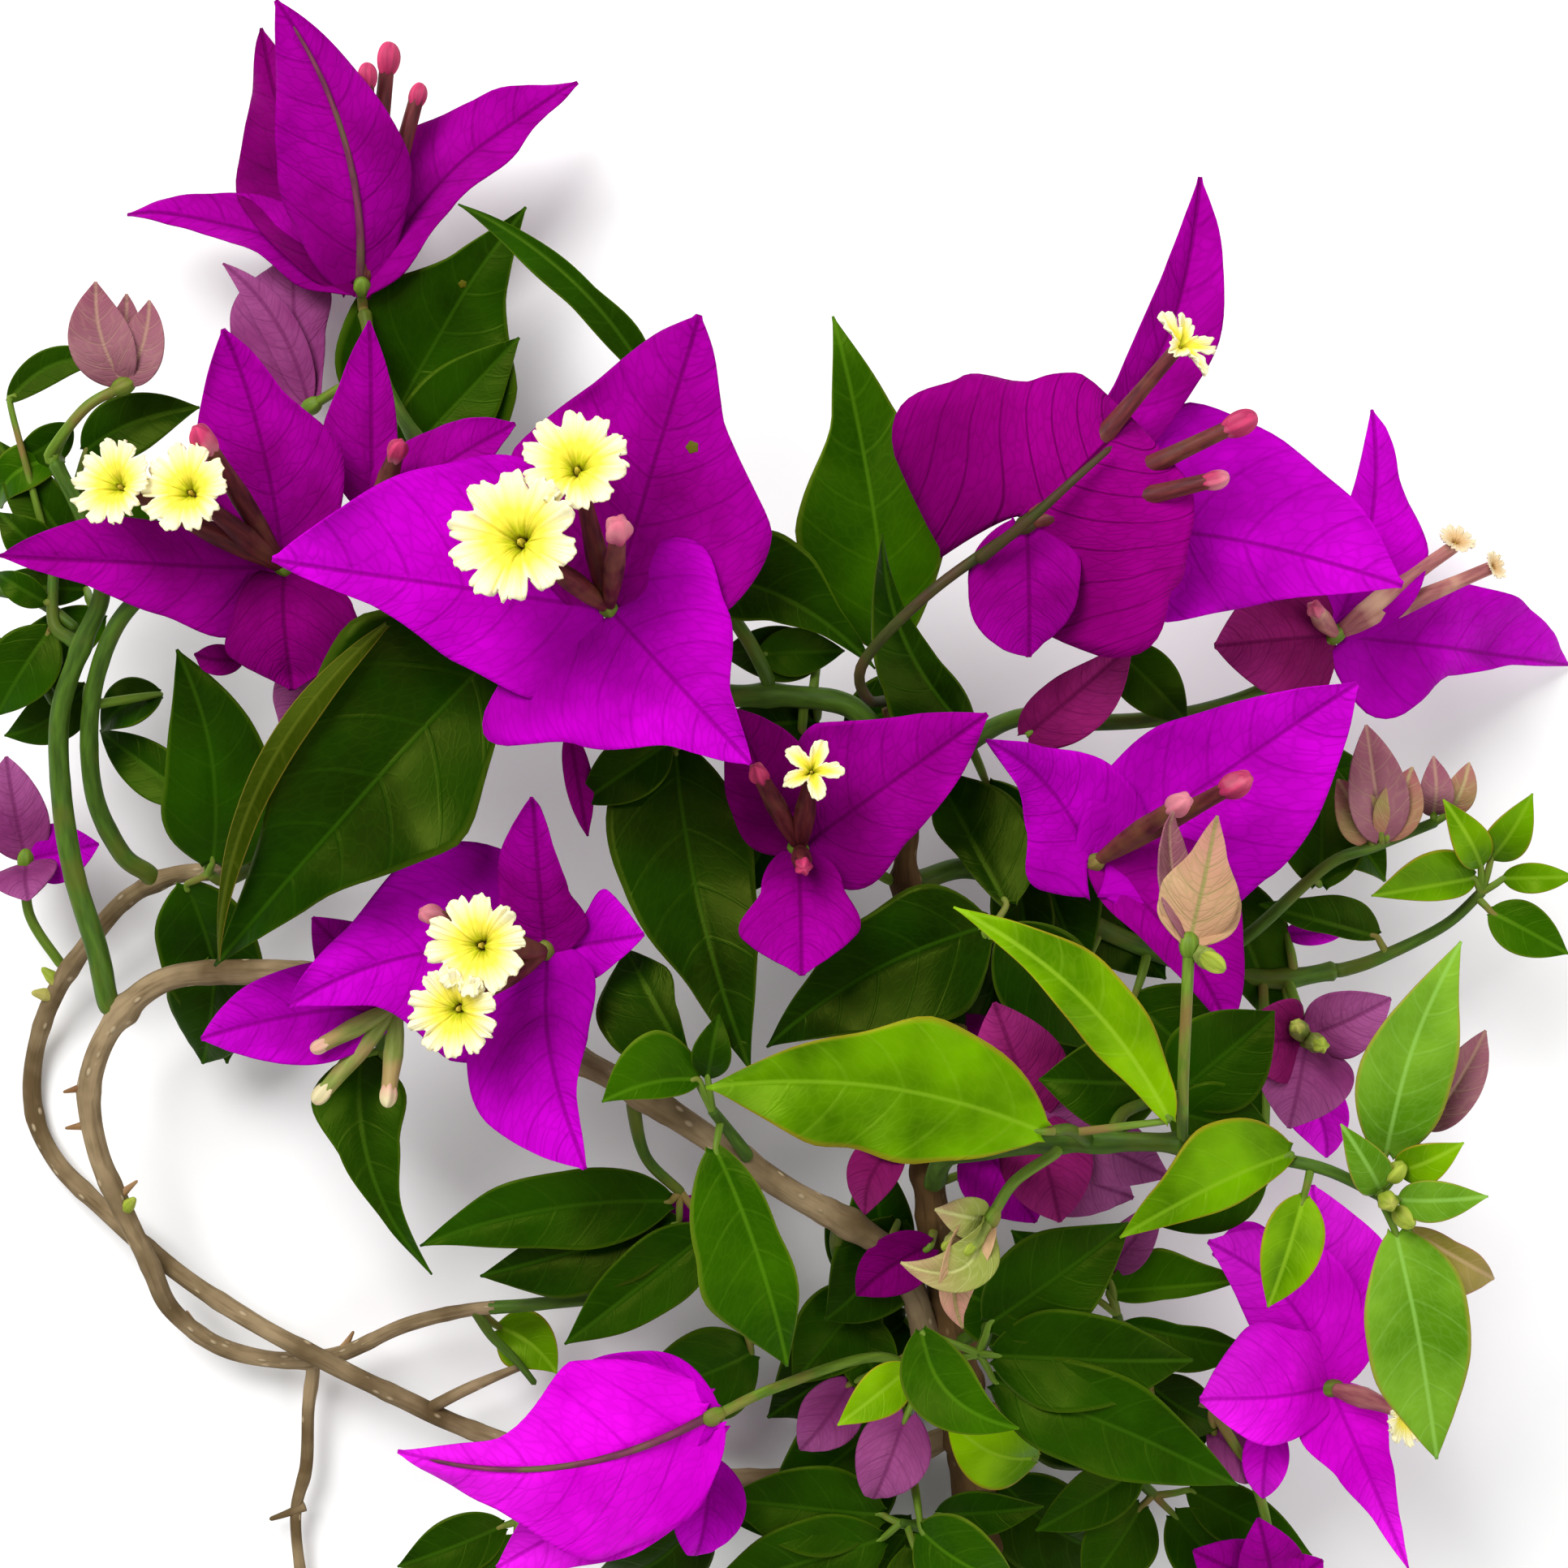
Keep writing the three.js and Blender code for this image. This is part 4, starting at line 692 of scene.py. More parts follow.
def petal(tip, width, *sides, **bends):
    """A bract's measures: tip, width, half widths of its two sides at STATIONS where given, and bends."""
    if sides:
        bends["sides"] = sides[:3], sides[3:]
    return tip, width, bends


def leaf(foot, *rest, **bends):
    return foot, *petal(*rest, **bends)


# Each limb: carrier, slot, radii and path
LIMBS = {
    "trunk": [None, "bark", [3.4, 2.9, 2.4, 1.9, 1.5, 1.3], [
        [23.9, -106, 3.8], [23.9, -94, 6], [22.9, -83.4, 9], [21.4, -71.5, 14], [18.4, -53.4, 24],
        [16.4, -33.4, 32], [14.9, -13.4, 36], [15.4, 0.6, 40], [13.6, 9.5, 42],
    ]],
    "left_whip": ["trunk", "bark", [2.1, 1.9, 1.9, 1.8, 1.4, 1.05, 0.8], [
        [20.9, -68.5, 16], [13.4, -58.2, 24], [-0.6, -49.4, 31], [-13.6, -40.9, 34], [-24.6, -34.4, 34],
        [-40.6, -27.6, 31], [-56.6, -23.7, 27], [-66.6, -23.2, 25], [-76.2, -24.2, 23.5], [-82.6, -29.4, 22],
        [-85.6, -37, 20], [-84.6, -45, 18], [-81.4, -52.6, 16], [-78.2, -59.2, 14], [-75.6, -64.6, 10.5],
        [-69.6, -69.2, 7.5], [-61.6, -71, 6.5], [-54.6, -70.2, 8.5], [-46.6, -66.7, 13], [-39, -64.8, 16],
        [-31.6, -64.2, 18], [-20.6, -63, 20], [-10.6, -60.9, 21], [-1.6, -58.9, 21],
    ]],
    "outer_whip": ["trunk", "bark", [1.9, 1.7, 1.6, 1.5, 1.5, 1.5, 1.3], [
        [22.6, -80.5, 10], [12, -84, 8], [-2, -85.6, 6], [-16, -85.2, 6], [-29.6, -82.6, 7],
        [-39.6, -79.2, 9], [-46.6, -75.9, 11], [-54.6, -72, 12.2], [-62.6, -67.9, 13], [-70.4, -63.2, 12.5],
        [-77.4, -58, 10], [-84, -52.2, 6], [-89.6, -46.6, 3], [-92.4, -40.4, 1.9], [-92.2, -33, 3],
        [-89.6, -25.4, 7], [-85.6, -19.4, 12.5], [-81.2, -14.4, 16], [-75.6, -11.4, 18], [-68.6, -10.6, 19],
        [-61.6, -9.6, 20], [-54.6, -6.8, 21],
    ]],
    "green_shoot_outer": ["left_whip", "green_stem", [1.5, 1.4, 1.2, 0.9], [
        [-81.8, -28, 22.5], [-84.6, -20.6, 24.5], [-87.4, -11.4, 26], [-89, -1.4, 28], [-89.2, 8.6, 32],
        [-86.6, 17, 36], [-84, 24, 38], [-86, 32, 39], [-90, 40, 40],
    ]],
    "green_shoot_inner": ["outer_whip", "green_stem", [1.3, 1.2, 1.1, 1.0], [
        [-77.6, -12.4, 17.5], [-81.6, -8.6, 21], [-84.8, -2, 25], [-85.6, 6, 30], [-84.6, 13.6, 34.5],
        [-81.6, 20.6, 40], [-76, 25.2, 43], [-69, 25.6, 44],
    ]],
    "upper_left_bough": ["trunk", "green_stem", [1.5, 1.4, 1.2, 1.0, 0.8], [
        [14.6, 5, 41], [8, 9.6, 42], [0, 10.9, 42], [-9, 11.2, 42], [-18.6, 15.4, 42], [-28.6, 23.2, 40],
        [-38, 33, 36], [-45, 42, 30], [-50, 51, 23.4], [-51.8, 58.5, 20],
    ]],
    "right_top_bough": ["trunk", "green_stem", [1.3, 1.1, 0.8], [
        [15.6, -1, 39.4], [21.4, 4, 38], [29, 8.2, 35], [38.4, 7.6, 32], [48.4, 8.4, 30], [58.4, 11.4, 29],
        [65.4, 16.4, 29],
    ]],
    "upper_right_bough": ["trunk", "green_stem", [1.4, 1.3, 1.2], [
        [15, -12, 36], [22.4, -10.4, 33], [29.4, -12.4, 30], [37.4, -17, 27], [48.4, -21.6, 23],
        [59.4, -24, 21], [68.4, -22.9, 21],
    ]],
    "right_bough": ["trunk", "green_stem", [1.4, 1.3, 1.1], [
        [17.8, -48, 27], [20, -46, 38], [25, -45, 50], [33, -44.2, 60], [43.4, -44.1, 66], [49.6, -44.3, 67],
    ]],
    "lower_right_bough": ["trunk", "bark", [1.5, 1.2, 0.9], [
        [22.4, -77, 11.5], [30, -77.8, 17], [40.4, -76.9, 23], [51.4, -76, 27], [57, -76.6, 28.5],
    ]],
    "dead_twig": ["left_whip", "bark", [1.1, 1.0, 0.8], [
        [-58.2, -70.9, 7], [-58.6, -77, 5.5], [-58.9, -84, 5], [-60.2, -90.4, 4], [-59.2, -100.5, 3],
    ]],
}

# Each bloom: carrier, tones of its bracts in turn, heart, stalk, bracts, and flowers by tip and size. Of the
# tones, deep is painted shade, and bright and hot are painted light.
BLOOMS = {
    "bloom_top_left": ["upper_left_bough", "magenta magenta magenta deep", [-52, 61.2, 22],
        [[-51.8, 58.5, 20.5]], [
        petal([-62.6, 96.6, 33], 23, 7, 10, 7, 4.6, 7.7, 4.4, sway=-3.5, bow=2, fold=-12),
        petal([-25.4, 86.4, 16], 18, 5, 10, 5, 4, 4.5, 4.3, roll=-20, sway=3),
        petal([-80.9, 70.1, 14], 13, 4, 3.4, 2.4, 4, 5, 3.6, roll=20, sway=-3),
        petal([-64.4, 93.1, 1.4], 17, 6, 9.6, 3.8, 5, 6, 4, sway=2, bow=0, roll=10),
    ], [[[-48.8, 89.6, 24], -1.8], [[-51.4, 87.4, 27], -1.5], [[-45.1, 85.1, 22], -1.4]]],
    "bloom_mauve_left": ["upper_left_bough", "pale", [-58.2, 46.6, 17], [[-49.6, 50, 24], [-54, 49, 20]], [
        petal([-60, 66, 13], 15, 3, 8.5, 7, 2, 3.8, 4.8, sway=1), petal([-69.1, 64.1, 14], 5, sway=-2, bow=2),
    ], []],
    "bloom_left": ["upper_left_bough", "magenta magenta deep", [-61.6, 26.6, 44],
        [[-31, 25.4, 39], [-42, 20, 35], [-54, 20, 37]], [
        petal([-69.1, 56.1, 50], 19, 4, 8, 6.4, 6.6, 9.8, 4.4, sway=-1, bow=-1),
        petal([-96.6, 28.1, 46], 16, 8, 6.6, 2.6, 4, 5.5, 5.4, bow=2, roll=-10),
        petal([-60.6, 11.6, 46], 16, 5, 8.6, 8.6, 4, 6, 7, bow=3),
    ], [[[-73.4, 36.1, 60], 11.4], [[-82.2, 36.8, 58], 11], [[-71.6, 42.6, 60], -1.8]]],
    "bloom_left_rear": ["upper_left_bough", "magenta", [-50.6, 33.6, 40], [[-42, 37.2, 33]], [
        petal([-51.1, 57.1, 40], 12, 4, 6.2, 3.4, 3, 3.2, 2.3, bow=0), petal([-33.1, 44.4, 46], 11, roll=-20),
    ], [[[-47.6, 41.2, 48], -1.5]]],
    "bloom_centre": ["upper_left_bough", "bright magenta bright", [-21.6, 21.6, 58],
        [[-19, 15.8, 42], [-20, 19, 52]], [
        petal([-63.1, 27.6, 68], 27, 11, 9.1, 3.4, 12, 16.3, 11.1, bow=-1, fold=4),
        petal([-10.4, 57.8, 68], 28, 11, 16.4, 9.4, 13, 16, 6.4, bow=-1, fold=6),
        petal([-4.1, 2.5, 66], 29, 12, 11, 4, 19.5, 14.6, 5.6, lobe=0.2),
    ], [[[-32.8, 30.1, 76], 16], [[-25.6, 39.1, 74], 13], [[-20.4, 31.4, 76], -1.9]]],
    "bloom_mid_left": ["left_whip", "bright magenta bright bright", [-29.4, -20.6, 42],
        [[-26.5, -33.5, 34], [-28.4, -26, 38]], [
        petal([-61.1, -27.4, 43], 28, 12, 14, 4.5, 11, 13, 5.4, bow=0, sway=-3),
        petal([-31.1, -1.6, 52], 15, 5, 5, 4, 5.4, 3.7, 2, bow=0),
        petal([-24.4, -47.4, 50], 20, 6, 5, 2, 8, 10.4, 9.2, bow=3, sway=-1.5),
        petal([-17.2, -18.6, 44], 10, 2, 3.5, 6.5, 2, 4.4, 2.6, bow=0),
    ], [[[-37.6, -19.9, 60], 12.8], [[-40.4, -27.9, 59], 11.6], [[-43.6, -16.1, 56], -1.5]]],
    "bloom_mid_left_rear": ["left_whip", "bright magenta", [-47.6, -27.2, 35], [[-42, -27.2, 30.6]], [
        petal([-71.8, -31.4, 34], 13, bow=2, sway=-1), petal([-58.1, -16.4, 36], 10, bow=0),
    ], [[[-57.1, -38.4, 38], -1.3], [[-48.8, -38.6, 37], -1.3], [[-57.4, -32.4, 40], -1.1]]],
    "bloom_right": ["trunk", "lined bright magenta magenta", [29.9, 32.1, 60],
        [[13.6, 9.5, 42], [10.4, 10.4, 48], [9.8, 15, 54], [18, 23.6, 59]], [
        petal([42.8, 45.1, 60], 36, 17, 18, 12, 18, 18, 15, bow=4, fold=-1, lobe=0.4, shape=[0.6, 0.5]),
        petal([76.2, 24.4, 54], 30, 6, 16, 12, 7, 11.4, 6, bow=-2, fold=-9, sway=2.5, sink=2.4),
        petal([51.2, 74.8, 50], 11, 3, 4.2, 4.6, 3, 5.2, 6, bow=-2, fold=30, roll=10, sway=-6),
        petal([30.2, 15.7, 54], 15, 5, 6, 4, 5.5, 7.6, 6, bow=2),
    ], [[[49, 54, 66], 9, [1, 0.8, 1]], [[56.4, 44.6, 64], -1.8], [[53.4, 37.6, 66], -1.4]]],
    "bloom_mid_right": ["upper_right_bough", "bright bright magenta", [38.4, -9.6, 42],
        [[30.4, -13, 29.5], [35, -11.4, 36]], [
        petal([70.6, 12.4, 50], 28, 7, 9.6, 5.8, 13, 14, 10, bow=-2),
        petal([24.9, 5.4, 50], 17, 8, 5.8, 2.6, 7, 7.8, 3, bow=-1, sway=-2, lobe=0.3),
        petal([54.9, -30.4, 47], 17, 7, 11, 6.3, 3, 3.4, 2.4, bow=0, sway=2),
    ], [[[48.8, -2.4, 58], -1.7], [[55.9, 0.1, 58], -1.9]]],
    "bud_bloom_front": ["right_bough", "blush bud blush", [49.9, -19.9, 80],
        [[49, -44.2, 67], [49.2, -36, 75], [49.6, -27, 79]], [
        petal([53.4, -3.9, 83], 10.5, 3.6, 4.6, 2, 3.6, 4.6, 2, fold=-14),
        petal([47.9, -3.4, 78], 6, bow=-1, roll=40),
        petal([52.6, -5.4, 77], 10, 3.6, 4, 1.8, 4.2, 5.2, 2.4, bow=-1),
    ], [[[53.2, -22.2, 82], -1.3]]],
    "bloom_small_centre": ["trunk", "magenta deep magenta", [1.9, -7.9, 44],
        [[15, -11.4, 36.5], [8, -9, 41]], [
        petal([25.1, 8.6, 54], 21, 8, 11.3, 6, 8, 7.2, 4.8),
        petal([-6.6, 9.4, 52], 13, 5, 5.7, 3.5, 5, 6, 5, bow=-1),
        petal([2.2, -23.6, 55], 15, 3, 5.3, 7, 3, 4.8, 7.6),
    ], [[[3.4, 1.6, 58], 7.6], [[-3.2, 1.4, 58], -1.4], [[2.4, -10.2, 56], -1.3]]],
    "bloom_far_right": ["right_top_bough", "bright bright wine", [67.9, 18.4, 29], [[65.4, 16.4, 27]], [
        petal([72.4, 46.1, 24], 13, 4, 4, 2.4, 6, 8, 3, bow=2, sway=-2),
        petal([96.6, 14.6, 1.4], 18, 5, 8.7, 7, 10, 3.6, 1, bow=3),
        petal([53, 17, 34], 14, 6, 6.6, 6.6, 6, 6.6, 6.6, bow=2),
    ], [[[82.8, 29.8, 32], 5, [0.3, 1, 1]], [[87.4, 26.8, 30], 4, [1, 0.5, 1]], [[65.4, 21.6, 39], -1.3]]],
    "bloom_low_left": ["trunk", "hot hot bright", [-8.6, -77.9, 38],
        [[22, -74, 13], [12, -70.6, 24], [-0.6, -74.2, 33]], [
        petal([-47.6, -82.2, 40], 23, 10, 14, 5.5, 9, 12.7, 3.7, bow=4, fold=-16, sway=3.5),
        petal([-35.4, -96.6, 32], 16, bow=-1, sway=1), petal([-27.6, -74, 29], 14),
    ], []],
    "bloom_low_right": ["lower_right_bough", "hot", [67.4, -74.4, 31], [[57, -76.6, 28.5]], [
        petal([76.9, -96.6, 32], 13, 5, 3.5, 1.6, 6, 4, 1.6),
        petal([51.2, -75.9, 38], 17, 4, 6, 5, 6, 8.6, 9, bow=2),
        petal([52.2, -56.4, 34], 14, 4, 6, 4.6, 5, 8, 7, bow=2, sway=-3, fold=0),
        petal([65, -49.4, 30], 11, 4, 4, 4, 5, 6.3, 7.8, bow=2),
    ], [[[76.4, -77.4, 42], 8.5, [0.8, -0.1, 1]]]],
    "bloom_pink_right": ["upper_right_bough", "pale wine pale", [64.4, -31.4, 34],
        [[62, -24.2, 21], [63.4, -28, 27]], [
        petal([62.2, -42.4, 38], 13, bow=2), petal([54.9, -31.6, 39], 11, bow=2), petal([74.8, -26.4, 39], 9),
    ], [[[66.2, -32.2, 42], -1.2], [[63.2, -29.8, 42], -1.1]]],
    "bloom_pink_behind": ["trunk", "wine pale wine", [31, -41.2, 46], [[16.2, -32, 32], [20, -34, 39]], [
        petal([25.9, -26.9, 49], 12), petal([47.4, -48.4, 50], 10, bow=-2), petal([34, -54, 48], 12),
    ], []],
    "bloom_left_edge": ["outer_whip", "pale bright pale", [-93.4, -9.4, 13],
        [[-88.4, -23, 10], [-93, -16, 11]], [
        petal([-95.8, 3.4, 15], 9), petal([-84.4, -7.4, 14], 8), petal([-93.1, -14.4, 19], 9),
    ], []],
    "bud_blooms_left": ["green_shoot_outer", "bud", [-81.4, 49, 42], [[-90, 40, 40], [-86, 46.4, 42.4]], [
        petal([-84.8, 61.9, 46], 8, sway=1), petal([-78.2, 59.6, 45], 6, sway=-1),
        petal([-81, 60.4, 43], 5, bow=0),
    ], []],
    "bloom_bottom_edge": ["lower_right_bough", "magenta", [60.4, -99, 22],
        [[53, -76.4, 27.4], [58, -86, 24], [60, -94, 22]], [
        petal([50.4, -94.4, 26], 10), petal([66.4, -95.6, 25], 8), petal([58.4, -90.4, 27], 9),
    ], []],
    "curly_bud": ["right_bough", "green blush green", [25.4, -53.6, 63], [[34, -44.2, 61], [28.4, -49, 63]], [
        petal([14.4, -59, 66], 6.4, bow=3, fold=24, ruffle=7, sway=3.4, twist=35),
        petal([22, -67, 64], 6, bow=3, fold=24, ruffle=7, sway=-2.6, twist=-35),
        petal([18.6, -52.4, 66], 5, bow=2, ruffle=6),
    ], [[[22.6, -57.4, 67], -0.9], [[20, -57, 66], -0.8], [[22.2, -61, 66], -0.8]]],
}

# Each spray: carrier, tones of its blades in turn, twig, and blades
SPRAYS = {
    "leaves_top_left": ["upper_left_bough", "dark", [[-45.4, 42.6, 29.4], [-48, 40, 22], [-49, 41.6, 16]], [
        leaf([-48.8, 43.2, 14.4], [-31.8, 71.1, 23], 24, 8.5, 12, 3.8, 12, 13, 4.6, bow=0, sway=1),
        leaf([-46.6, 40.2, 19], [-32.6, 55, 21], 11, bow=0),
    ]],
    "leaves_top_centre": ["trunk", "mid deep", [[14.6, 2, 40.5], [19, 1, 42], [21, 6, 43], [17, 13, 39]], [
        leaf([12.8, 17, 39], [6, 57.6, 44], 20, 6, 10.6, 3.2, 5, 9.2, 4.8, sway=-1, bow=2),
        leaf([23.4, 6, 45], [12.1, 30.8, 51], 12, 6, 5.6, 2.8, 2.5, 2.5, 1.2, sway=3, bow=0, roll=10),
    ]],
    "leaves_behind_centre": ["upper_left_bough", "dark",
        [[-2, 11, 42], [-4, 17, 44], [-8, 24, 44], [-12, 38, 46], [-16, 48, 47]], [
        leaf([-16.4, 49.4, 47.6], [-40.1, 71.4, 46], 5, 1.8, 2.5, 2.4, 2.2, 1.4, 1, sway=-2.6, fold=20,
             bow=2),
        leaf([-8.6, 25.6, 44.6], [11.2, 14.2, 47], 15, 6, 6.3, 2.3, 4.5, 3.2, 1.3, sway=2, bow=2),
        leaf([-3, 16, 43], [7.4, 16.4, 41], 6),
    ]],
    "leaf_large_left": ["upper_left_bough", "deep", [[-23.4, 19, 42], [-30, 15, 45], [-34, 15.6, 47]], [
        leaf([-35.4, 16.4, 47.5], [-70.1, -22.4, 45], 25, 6.3, 13, 4.7, 13.3, 12.2, 5.6, sway=0, bow=5,
             fold=10),
    ]],
    "leaves_left_loop": ["outer_whip", "dark", [[-66, -10.4, 19.4], [-69, -12, 24], [-71, -11, 26]], [
        leaf([-70.4, -9.6, 27], [-74.8, 16.6, 34], 15, 5.5, 6.3, 4.4, 8, 8, 5, bow=2, sway=-2.5),
        leaf([-73.6, -12.4, 24], [-68.6, -34.4, 12], 14, bow=-1, sway=1),
        leaf([-73, -2, 26], [-84.2, 6.6, 21], 7),
    ]],
    "leaves_left_edge": ["green_shoot_outer", "dark", [[-86.6, 17, 36], [-90, 20, 34], [-90, 27, 34]], [
        leaf([-90.4, 19, 33], [-97, 8.4, 30], 9), leaf([-91, 22.4, 34], [-97, 26, 34], 4, bow=2),
        leaf([-90.6, 28, 34], [-96.6, 33.4, 36], 6, bow=2), leaf([-88, 29.4, 34], [-97, 42.4, 34], 7),
        leaf([-86, 41, 34], [-72, 46.4, 36], 8, sway=1),
        leaf([-95.4, 47.2, 38], [-82.2, 52, 39], 4.4, sway=2.4, bow=0),
    ]],
    "leaves_mid_left": ["upper_left_bough", "deep", [[-10, 11.4, 42], [-11, 6, 41], [-12.6, 4.8, 41]], [
        leaf([-13.4, 4.4, 40], [-4.1, -35.4, 44], 19, 5.4, 8, 5.1, 8.2, 9.1, 4.1, sway=-1.5, bow=0),
        leaf([-14.4, 5, 41.6], [-25.1, -2.4, 40], 8, bow=2),
    ]],
    "leaves_below_left": ["left_whip", "dark", [[-47, -26, 29.2], [-49, -31, 27], [-50, -33, 26]], [
        leaf([-52, -33.6, 26], [-43.4, -60.4, 28], 11, 5.5, 4.5, 1.9, 5.5, 3.3, 1, sway=-3, bow=3),
        leaf([-49, -34, 26], [-57.4, -40.4, 19], 7, bow=2),
    ]],
    "leaves_below_centre": ["left_whip", "dark deep dark",
        [[-17.4, -38.6, 34], [-17, -46, 29], [-12.4, -50.6, 27]], [
        leaf([-14, -51.4, 27], [-44.8, -56.9, 27], 11, 4, 5.6, 3.4, 3.6, 4.6, 3.8, sway=-2, bow=2),
        leaf([-13, -54, 26], [-37.4, -60.6, 24.5], 11, 4, 5.5, 5, 3, 4, 3),
        leaf([-9, -55, 27], [-27, -69, 26], 10),
    ]],
    "leaves_below_front": ["left_whip", "mid mid dark deep",
        [[-6, -46, 33], [-7.4, -42, 39], [-9, -40, 43]], [
        leaf([-8.4, -45, 42], [0.4, -71.7, 40], 14, 2.4, 3.4, 3.5, 4.6, 7.4, 7, bow=3, sway=1),
        leaf([-10.6, -36.4, 45], [-22.4, -39.2, 48], 9, 1.6, 2.2, 1.3, 3.4, 6.4, 4.2, sway=-1),
        leaf([-9.4, -36, 45], [-8, -28.4, 46], 5, bow=2),
        leaf([-12, -34, 42], [-19.4, -20.4, 37], 9, 4.6, 7.6, 6, 1, 2.2, 3.4, bow=2),
    ]],
    "leaves_bright": ["right_bough", "fresh lime", [[38, -44.1, 63.4], [35, -42.6, 69], [33, -42.8, 71]], [
        leaf([31.6, -42.8, 71.5], [-9.6, -37.4, 72], 17, 4.4, 7.8, 7, 5.4, 8.8, 4.5, sway=-3, bow=3,
             ruffle=2.2),
        leaf([47.4, -41.4, 73], [20.9, -15.2, 75], 11, 1.8, 3.1, 1.9, 2.4, 4.9, 3.4, sway=-3, bow=3,
             ruffle=2.2),
    ]],
    "leaves_end": ["right_bough", "fresh light light light lime light flushed lime bract_bud",
        [[49.6, -44.3, 67], [60, -46, 68], [67, -47.6, 69], [74, -51, 68]], [
        leaf([62.4, -45.6, 69.4], [41.4, -55.9, 71], 11, 1.8, 3, 2, 4.9, 7, 3.2, sway=-1, bow=2),
        leaf([74.2, -45.4, 69], [83.4, -19.4, 74], 13, 3.5, 5.5, 3, 4, 5.4, 3.6, sway=1.5, bow=2),
        leaf([75.4, -55.4, 67], [80.4, -83.1, 66], 13, 4.6, 6.4, 3.8, 3.6, 6.2, 5, bow=3),
        leaf([73.4, -50, 69], [68.6, -41.9, 73], 5, bow=2),
        leaf([75.8, -47.6, 69], [83.7, -44.2, 73], 5, bow=2),
        leaf([76, -51.2, 69], [86.7, -50.8, 73], 5, bow=2),
        leaf([77, -55, 67], [87.4, -60.9, 64], 8, 1.2, 1.6, 1.6, 3, 5, 3.6, bow=2),
        leaf([64, -51, 68], [59.6, -64.4, 68], 8, fold=25),
        leaf([79.4, -42, 67], [86.4, -30.4, 66], 6, fold=20, bow=2),
    ]],
    "leaves_right_edge": ["upper_right_bough", "fresh mid fresh fresh lime dark",
        [[68.4, -22.9, 21], [73.4, -21.4, 23], [81.4, -17.4, 27], [86.4, -12.9, 30]], [
        leaf([85, -11.6, 31], [72.4, -13.8, 36], 7, 1.5, 2, 1.2, 3, 4.4, 3),
        leaf([87.2, -15.8, 30], [96.6, -20.9, 31], 7), leaf([88.8, -11.6, 31], [97.4, -11.4, 33], 4, bow=2),
        leaf([87.2, -9, 32], [92.2, -1.2, 36], 5.5, bow=2), leaf([85.8, -10, 32], [81.2, -1.9, 36], 5, bow=2),
        leaf([73, -18.8, 24], [58.4, -14.8, 26], 8, 1, 1.3, 1.4, 3, 4, 2.2),
    ]],
    "bud_blooms_right": ["upper_right_bough", "bract_bud bract_mixed bract_mixed bract_bud bract_mixed dark",
        [[52, -22.6, 22.2], [58, -18, 30], [67, -10, 33], [73, -7.6, 34], [81, -4.4, 31]], [
        leaf([73.6, -6.4, 35], [71.7, 7.3, 38], 8, fold=20), leaf([74.4, -6.4, 35], [77.4, 2.1, 37], 6),
        leaf([72.2, -6.8, 34], [68.2, 0.6, 36], 6), leaf([80, -3.6, 31], [80, 3.4, 33], 4.5, bow=2),
        leaf([82, -3.6, 31], [84.4, 2.6, 32], 4, bow=2), leaf([66, -12.4, 31], [66.4, 3.6, 24], 12),
    ]],
    "sprig_top_right": ["right_top_bough", "dark bract_wine", [[36, 7.8, 33], [37, 9, 37], [39, 13, 38]], [
        leaf([41, 16.4, 38.4], [49.6, 7.6, 37], 8, bow=2),
        leaf([30, 6, 40], [42.8, 17.2, 44], 9, 2.6, 3.2, 2, 3.5, 5, 4),
    ]],
    "leaves_centre_dark": ["trunk", "deep", [[15.4, -24, 34.4], [22, -23, 39], [25, -19, 42]], [
        leaf([24.6, -17.6, 42], [-2.1, -32.4, 38], 17, 8, 9, 5, 6.5, 6.8, 3.5, bow=2, sway=-2),
        leaf([27.4, -18, 42], [39.4, -33, 36], 13, bow=0),
        leaf([27.4, -14.9, 42], [18.4, 2, 36], 13, 1.2, 2.4, 3.2, 5, 8, 6, bow=-1),
    ]],
    "leaves_centre_right": ["right_bough", "dark", [[40, -44, 64.6], [42, -40.4, 60], [46.4, -38.6, 57]], [
        leaf([46, -37, 57], [31.4, -36.4, 58], 12), leaf([48.6, -38, 57], [60.4, -28, 58], 13),
        leaf([48, -40.4, 57], [60.4, -43.4, 56], 10),
    ]],
    "leaves_low_centre": ["trunk", "dark mid lime dark dark",
        [[20.6, -67, 16.4], [25, -67, 30], [24, -70.4, 42]], [
        leaf([26, -73.6, 42], [55.9, -86.4, 46], 13, bow=3, sway=1),
        leaf([17, -67.4, 43], [29, -79.4, 50], 9, bow=2, sway=-3), leaf([15.4, -72, 41], [6.6, -79, 44], 6),
        leaf([26, -70.4, 43], [50.4, -71, 45], 13, bow=2),
        leaf([25.4, -66.4, 43], [42.4, -54, 44], 13, bow=2),
    ]],
    "leaves_low_middle": ["left_whip", "dark", [[8, -54.6, 27], [6.6, -58, 22], [9, -62, 17]], [
        leaf([10.2, -62.4, 15.6], [1, -74, 18], 11.4), leaf([11.2, -61.2, 16], [5.4, -51, 19.4], 8),
        leaf([12.4, -60, 16.4], [11, -45, 19], 9), leaf([8.4, -65, 16], [13, -78, 18], 8),
    ]],
    "leaves_low_bottom": ["trunk", "dark", [[23.8, -93, 6.4], [18, -92, 12], [14, -91, 16]], [
        leaf([12, -90, 15], [-8, -88, 15], 12), leaf([12, -93, 15], [-10, -99.4, 16], 12),
        leaf([16, -94, 17], [20, -103, 19], 12), leaf([19, -90, 14], [32, -89, 20], 6),
    ]],
    "leaves_low_edge": ["lower_right_bough", "dark", [[39, -77, 22], [41, -83, 17], [46, -88, 16]], [
        leaf([44, -89, 16], [37, -99.6, 16], 10), leaf([48, -90, 16], [58, -101, 14], 10),
